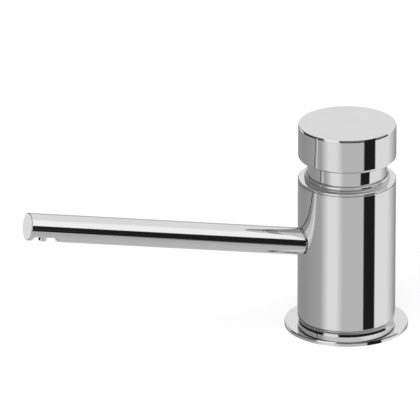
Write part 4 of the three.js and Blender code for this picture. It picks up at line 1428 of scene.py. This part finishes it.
class DISPENSER_OT_studio(bpy.types.Operator):
    """The floor, the light and the camera"""

    bl_idname = "dispenser.studio"
    bl_label = "Studio"

    def execute(self, context):
        studio = context.scene.dispenser_studio
        self.make_floor(context)
        self.make_world(context)
        self.make_lamp(context)
        azimuth, elevation = studio.camera_azimuth, studio.camera_elevation
        level = Vector((math.sin(azimuth), -math.cos(azimuth), 0))
        back = level * math.cos(elevation) + Vector((0, 0, math.sin(elevation)))
        camera = bpy.data.cameras.new("camera")
        camera.lens = studio.camera_lens
        camera.sensor_width = 36
        camera.clip_start, camera.clip_end = 0.1, 50
        obj = bpy.data.objects.new("camera", camera)
        obj.location = Vector(LOOKED_AT) * MM + back * studio.camera_distance
        obj.rotation_mode = "QUATERNION"
        obj.rotation_quaternion = (-back).to_track_quat("-Z", "Y")
        context.scene.collection.objects.link(obj)
        context.scene.camera = obj
        return {"FINISHED"}

    def seen(self, tree, glossy):
        """Whether a ray comes from the camera or through glass, or off polished metal too."""
        path = add_node(tree, "ShaderNodeLightPath").outputs
        both = add_node(
            tree,
            "ShaderNodeMath",
            {0: path["Is Camera Ray"], 1: path["Is Transmission Ray"]},
            operation="MAXIMUM",
        )
        if not glossy:
            return both.outputs[0]
        more = add_node(
            tree, "ShaderNodeMath", {0: both.outputs[0], 1: path["Is Glossy Ray"]}, operation="MAXIMUM"
        )
        return more.outputs[0]

    def make_floor(self, context):
        """A large pale floor that shows nearly white but keeps the object's shadow. Chrome mirrors the studio
        through it, not the floor itself."""
        mesh = bmesh.new()
        bmesh.ops.create_grid(mesh, x_segments=8, y_segments=8, size=12 / MM)
        obj = as_object("studio_floor", mesh)
        material = bpy.data.materials.new("matt_white_floor")
        material.use_nodes = True
        tree = material.node_tree
        tree.nodes.clear()
        lift = add_node(
            tree,
            "ShaderNodeMath",
            {0: self.seen(tree, True), 1: context.scene.dispenser_studio.floor_glow},
            operation="MULTIPLY",
        )
        matt = add_node(tree, "ShaderNodeBsdfDiffuse", {"Color": (*context.scene.dispenser_colours.floor, 1)})
        glow = add_node(tree, "ShaderNodeEmission", {"Color": (1, 1, 1, 1), "Strength": 1})
        both = add_node(
            tree, "ShaderNodeMixShader", {0: lift.outputs[0], 1: matt.outputs[0], 2: glow.outputs[0]}
        )
        add_node(tree, "ShaderNodeOutputMaterial", {"Surface": both.outputs[0]})
        obj.data.materials.append(material)
        obj.visible_glossy = False

    def make_world(self, context):
        """White all round for the camera. Polished metal sees the studio's walls: grey, with soft boxes and
        black cards that change with height and direction."""
        studio = context.scene.dispenser_studio
        world = bpy.data.worlds.new("studio")
        world.use_nodes = True
        tree = world.node_tree
        tree.nodes.clear()
        azimuth = studio.camera_azimuth
        way = add_node(tree, "ShaderNodeTexCoord").outputs["Generated"]
        right = self.along(tree, way, (math.cos(azimuth), math.sin(azimuth), 0))
        front = self.along(tree, way, (math.sin(azimuth), -math.cos(azimuth), 0))
        up = self.along(tree, way, (0, 0, 1))
        turn = add_node(tree, "ShaderNodeMath", {0: right, 1: front}, operation="ARCTAN2")
        turn = add_node(
            tree, "ShaderNodeMapRange", {"Value": turn.outputs[0], 1: -math.pi, 2: math.pi, 3: 0.0, 4: 1.0}
        )
        rise = add_node(tree, "ShaderNodeMath", {0: up}, operation="ARCSINE").outputs[0]
        shade = None
        for start, end, stops in WALLS:
            wall = self.wall(tree, turn.outputs[0], stops)
            if shade is None:
                shade = wall
                continue
            blend = add_node(
                tree,
                "ShaderNodeMapRange",
                {"Value": rise, 1: math.radians(start), 2: math.radians(end), 3: 0.0, 4: 1.0},
                interpolation_type="SMOOTHSTEP",
            )
            mixed = add_node(
                tree, "ShaderNodeMix", {0: blend.outputs[0], 6: shade, 7: wall}, data_type="RGBA"
            )
            shade = mixed.outputs[2]
        walls = add_node(tree, "ShaderNodeBackground", {"Color": shade, "Strength": LAMP})
        white = add_node(tree, "ShaderNodeBackground", {"Color": (1, 1, 1, 1), "Strength": 1})
        fill = add_node(tree, "ShaderNodeBackground", {"Color": (1, 1, 1, 1), "Strength": studio.fill_light})
        plain = add_node(
            tree, "ShaderNodeMixShader", {0: self.seen(tree, False), 1: fill.outputs[0], 2: white.outputs[0]}
        )
        path = add_node(tree, "ShaderNodeLightPath").outputs
        whole = add_node(
            tree, "ShaderNodeMixShader", {0: path["Is Glossy Ray"], 1: plain.outputs[0], 2: walls.outputs[0]}
        )
        add_node(tree, "ShaderNodeOutputWorld", {"Surface": whole.outputs[0]})
        context.scene.world = world

    def along(self, tree, way, direction):
        """How far a direction points along another."""
        share = add_node(tree, "ShaderNodeVectorMath", {0: way, 1: direction}, operation="DOT_PRODUCT")
        return share.outputs["Value"]

    def wall(self, tree, turn, stops):
        """The studio's wall at one height: its shade by direction."""
        shades = []
        for degrees, strength in stops:
            value = strength / LAMP
            shades.append(((degrees + 180) / 360, (value, value, value, 1)))
        return add_node(tree, "ShaderNodeValToRGB", {"Fac": turn}, shades).outputs["Color"]

    def make_lamp(self, context):
        """One broad soft lamp above and to the left, which chrome doesn't mirror."""
        lamp = bpy.data.lights.new("key", "AREA")
        lamp.shape = "DISK"
        lamp.size = 2.5
        lamp.energy = context.scene.dispenser_studio.key_light
        obj = bpy.data.objects.new("key", lamp)
        obj.location = (-0.9, -1.2, 2.6)
        obj.rotation_euler = (-obj.location).to_track_quat("-Z", "Y").to_euler()
        obj.visible_glossy = False
        obj.visible_camera = False
        context.scene.collection.objects.link(obj)


class DISPENSER_PT_build(bpy.types.Panel):
    """Lists the steps of the build in the 3D view's sidebar"""

    bl_idname = "DISPENSER_PT_build"
    bl_label = "Soap dispenser"
    bl_space_type = "VIEW_3D"
    bl_region_type = "UI"
    bl_category = "Dispenser"

    def draw(self, context):
        for step in STEPS:
            self.layout.operator(step.bl_idname)
        scene = context.scene
        for settings in (scene.dispenser_sizes, scene.dispenser_colours, scene.dispenser_studio):
            column = self.layout.column(align=True)
            for name in settings.__annotations__:
                column.prop(settings, name)


SETTINGS = {
    "dispenser_sizes": DispenserSizes,
    "dispenser_colours": DispenserColours,
    "dispenser_studio": DispenserStudio,
}
STEPS = (
    DISPENSER_OT_head,
    DISPENSER_OT_collar,
    DISPENSER_OT_body,
    DISPENSER_OT_flange,
    DISPENSER_OT_spout,
    DISPENSER_OT_fixing,
    DISPENSER_OT_plunger,
    DISPENSER_OT_pump,
    DISPENSER_OT_studio,
)


def register():
    for cls in (*SETTINGS.values(), *STEPS, DISPENSER_PT_build):
        bpy.utils.register_class(cls)
    for name, cls in SETTINGS.items():
        setattr(bpy.types.Scene, name, PointerProperty(type=cls))


def unregister():
    for name in SETTINGS:
        delattr(bpy.types.Scene, name)
    for cls in reversed((*SETTINGS.values(), *STEPS, DISPENSER_PT_build)):
        bpy.utils.unregister_class(cls)


def main():
    """Builds everything in order."""
    register()
    bpy.context.scene.view_settings.view_transform = "Standard"
    bpy.ops.dispenser.head()
    bpy.ops.dispenser.collar()
    bpy.ops.dispenser.body()
    bpy.ops.dispenser.flange()
    bpy.ops.dispenser.spout()
    bpy.ops.dispenser.fixing()
    bpy.ops.dispenser.plunger()
    bpy.ops.dispenser.pump()
    bpy.ops.dispenser.studio()


if __name__ == "__main__":
    main()
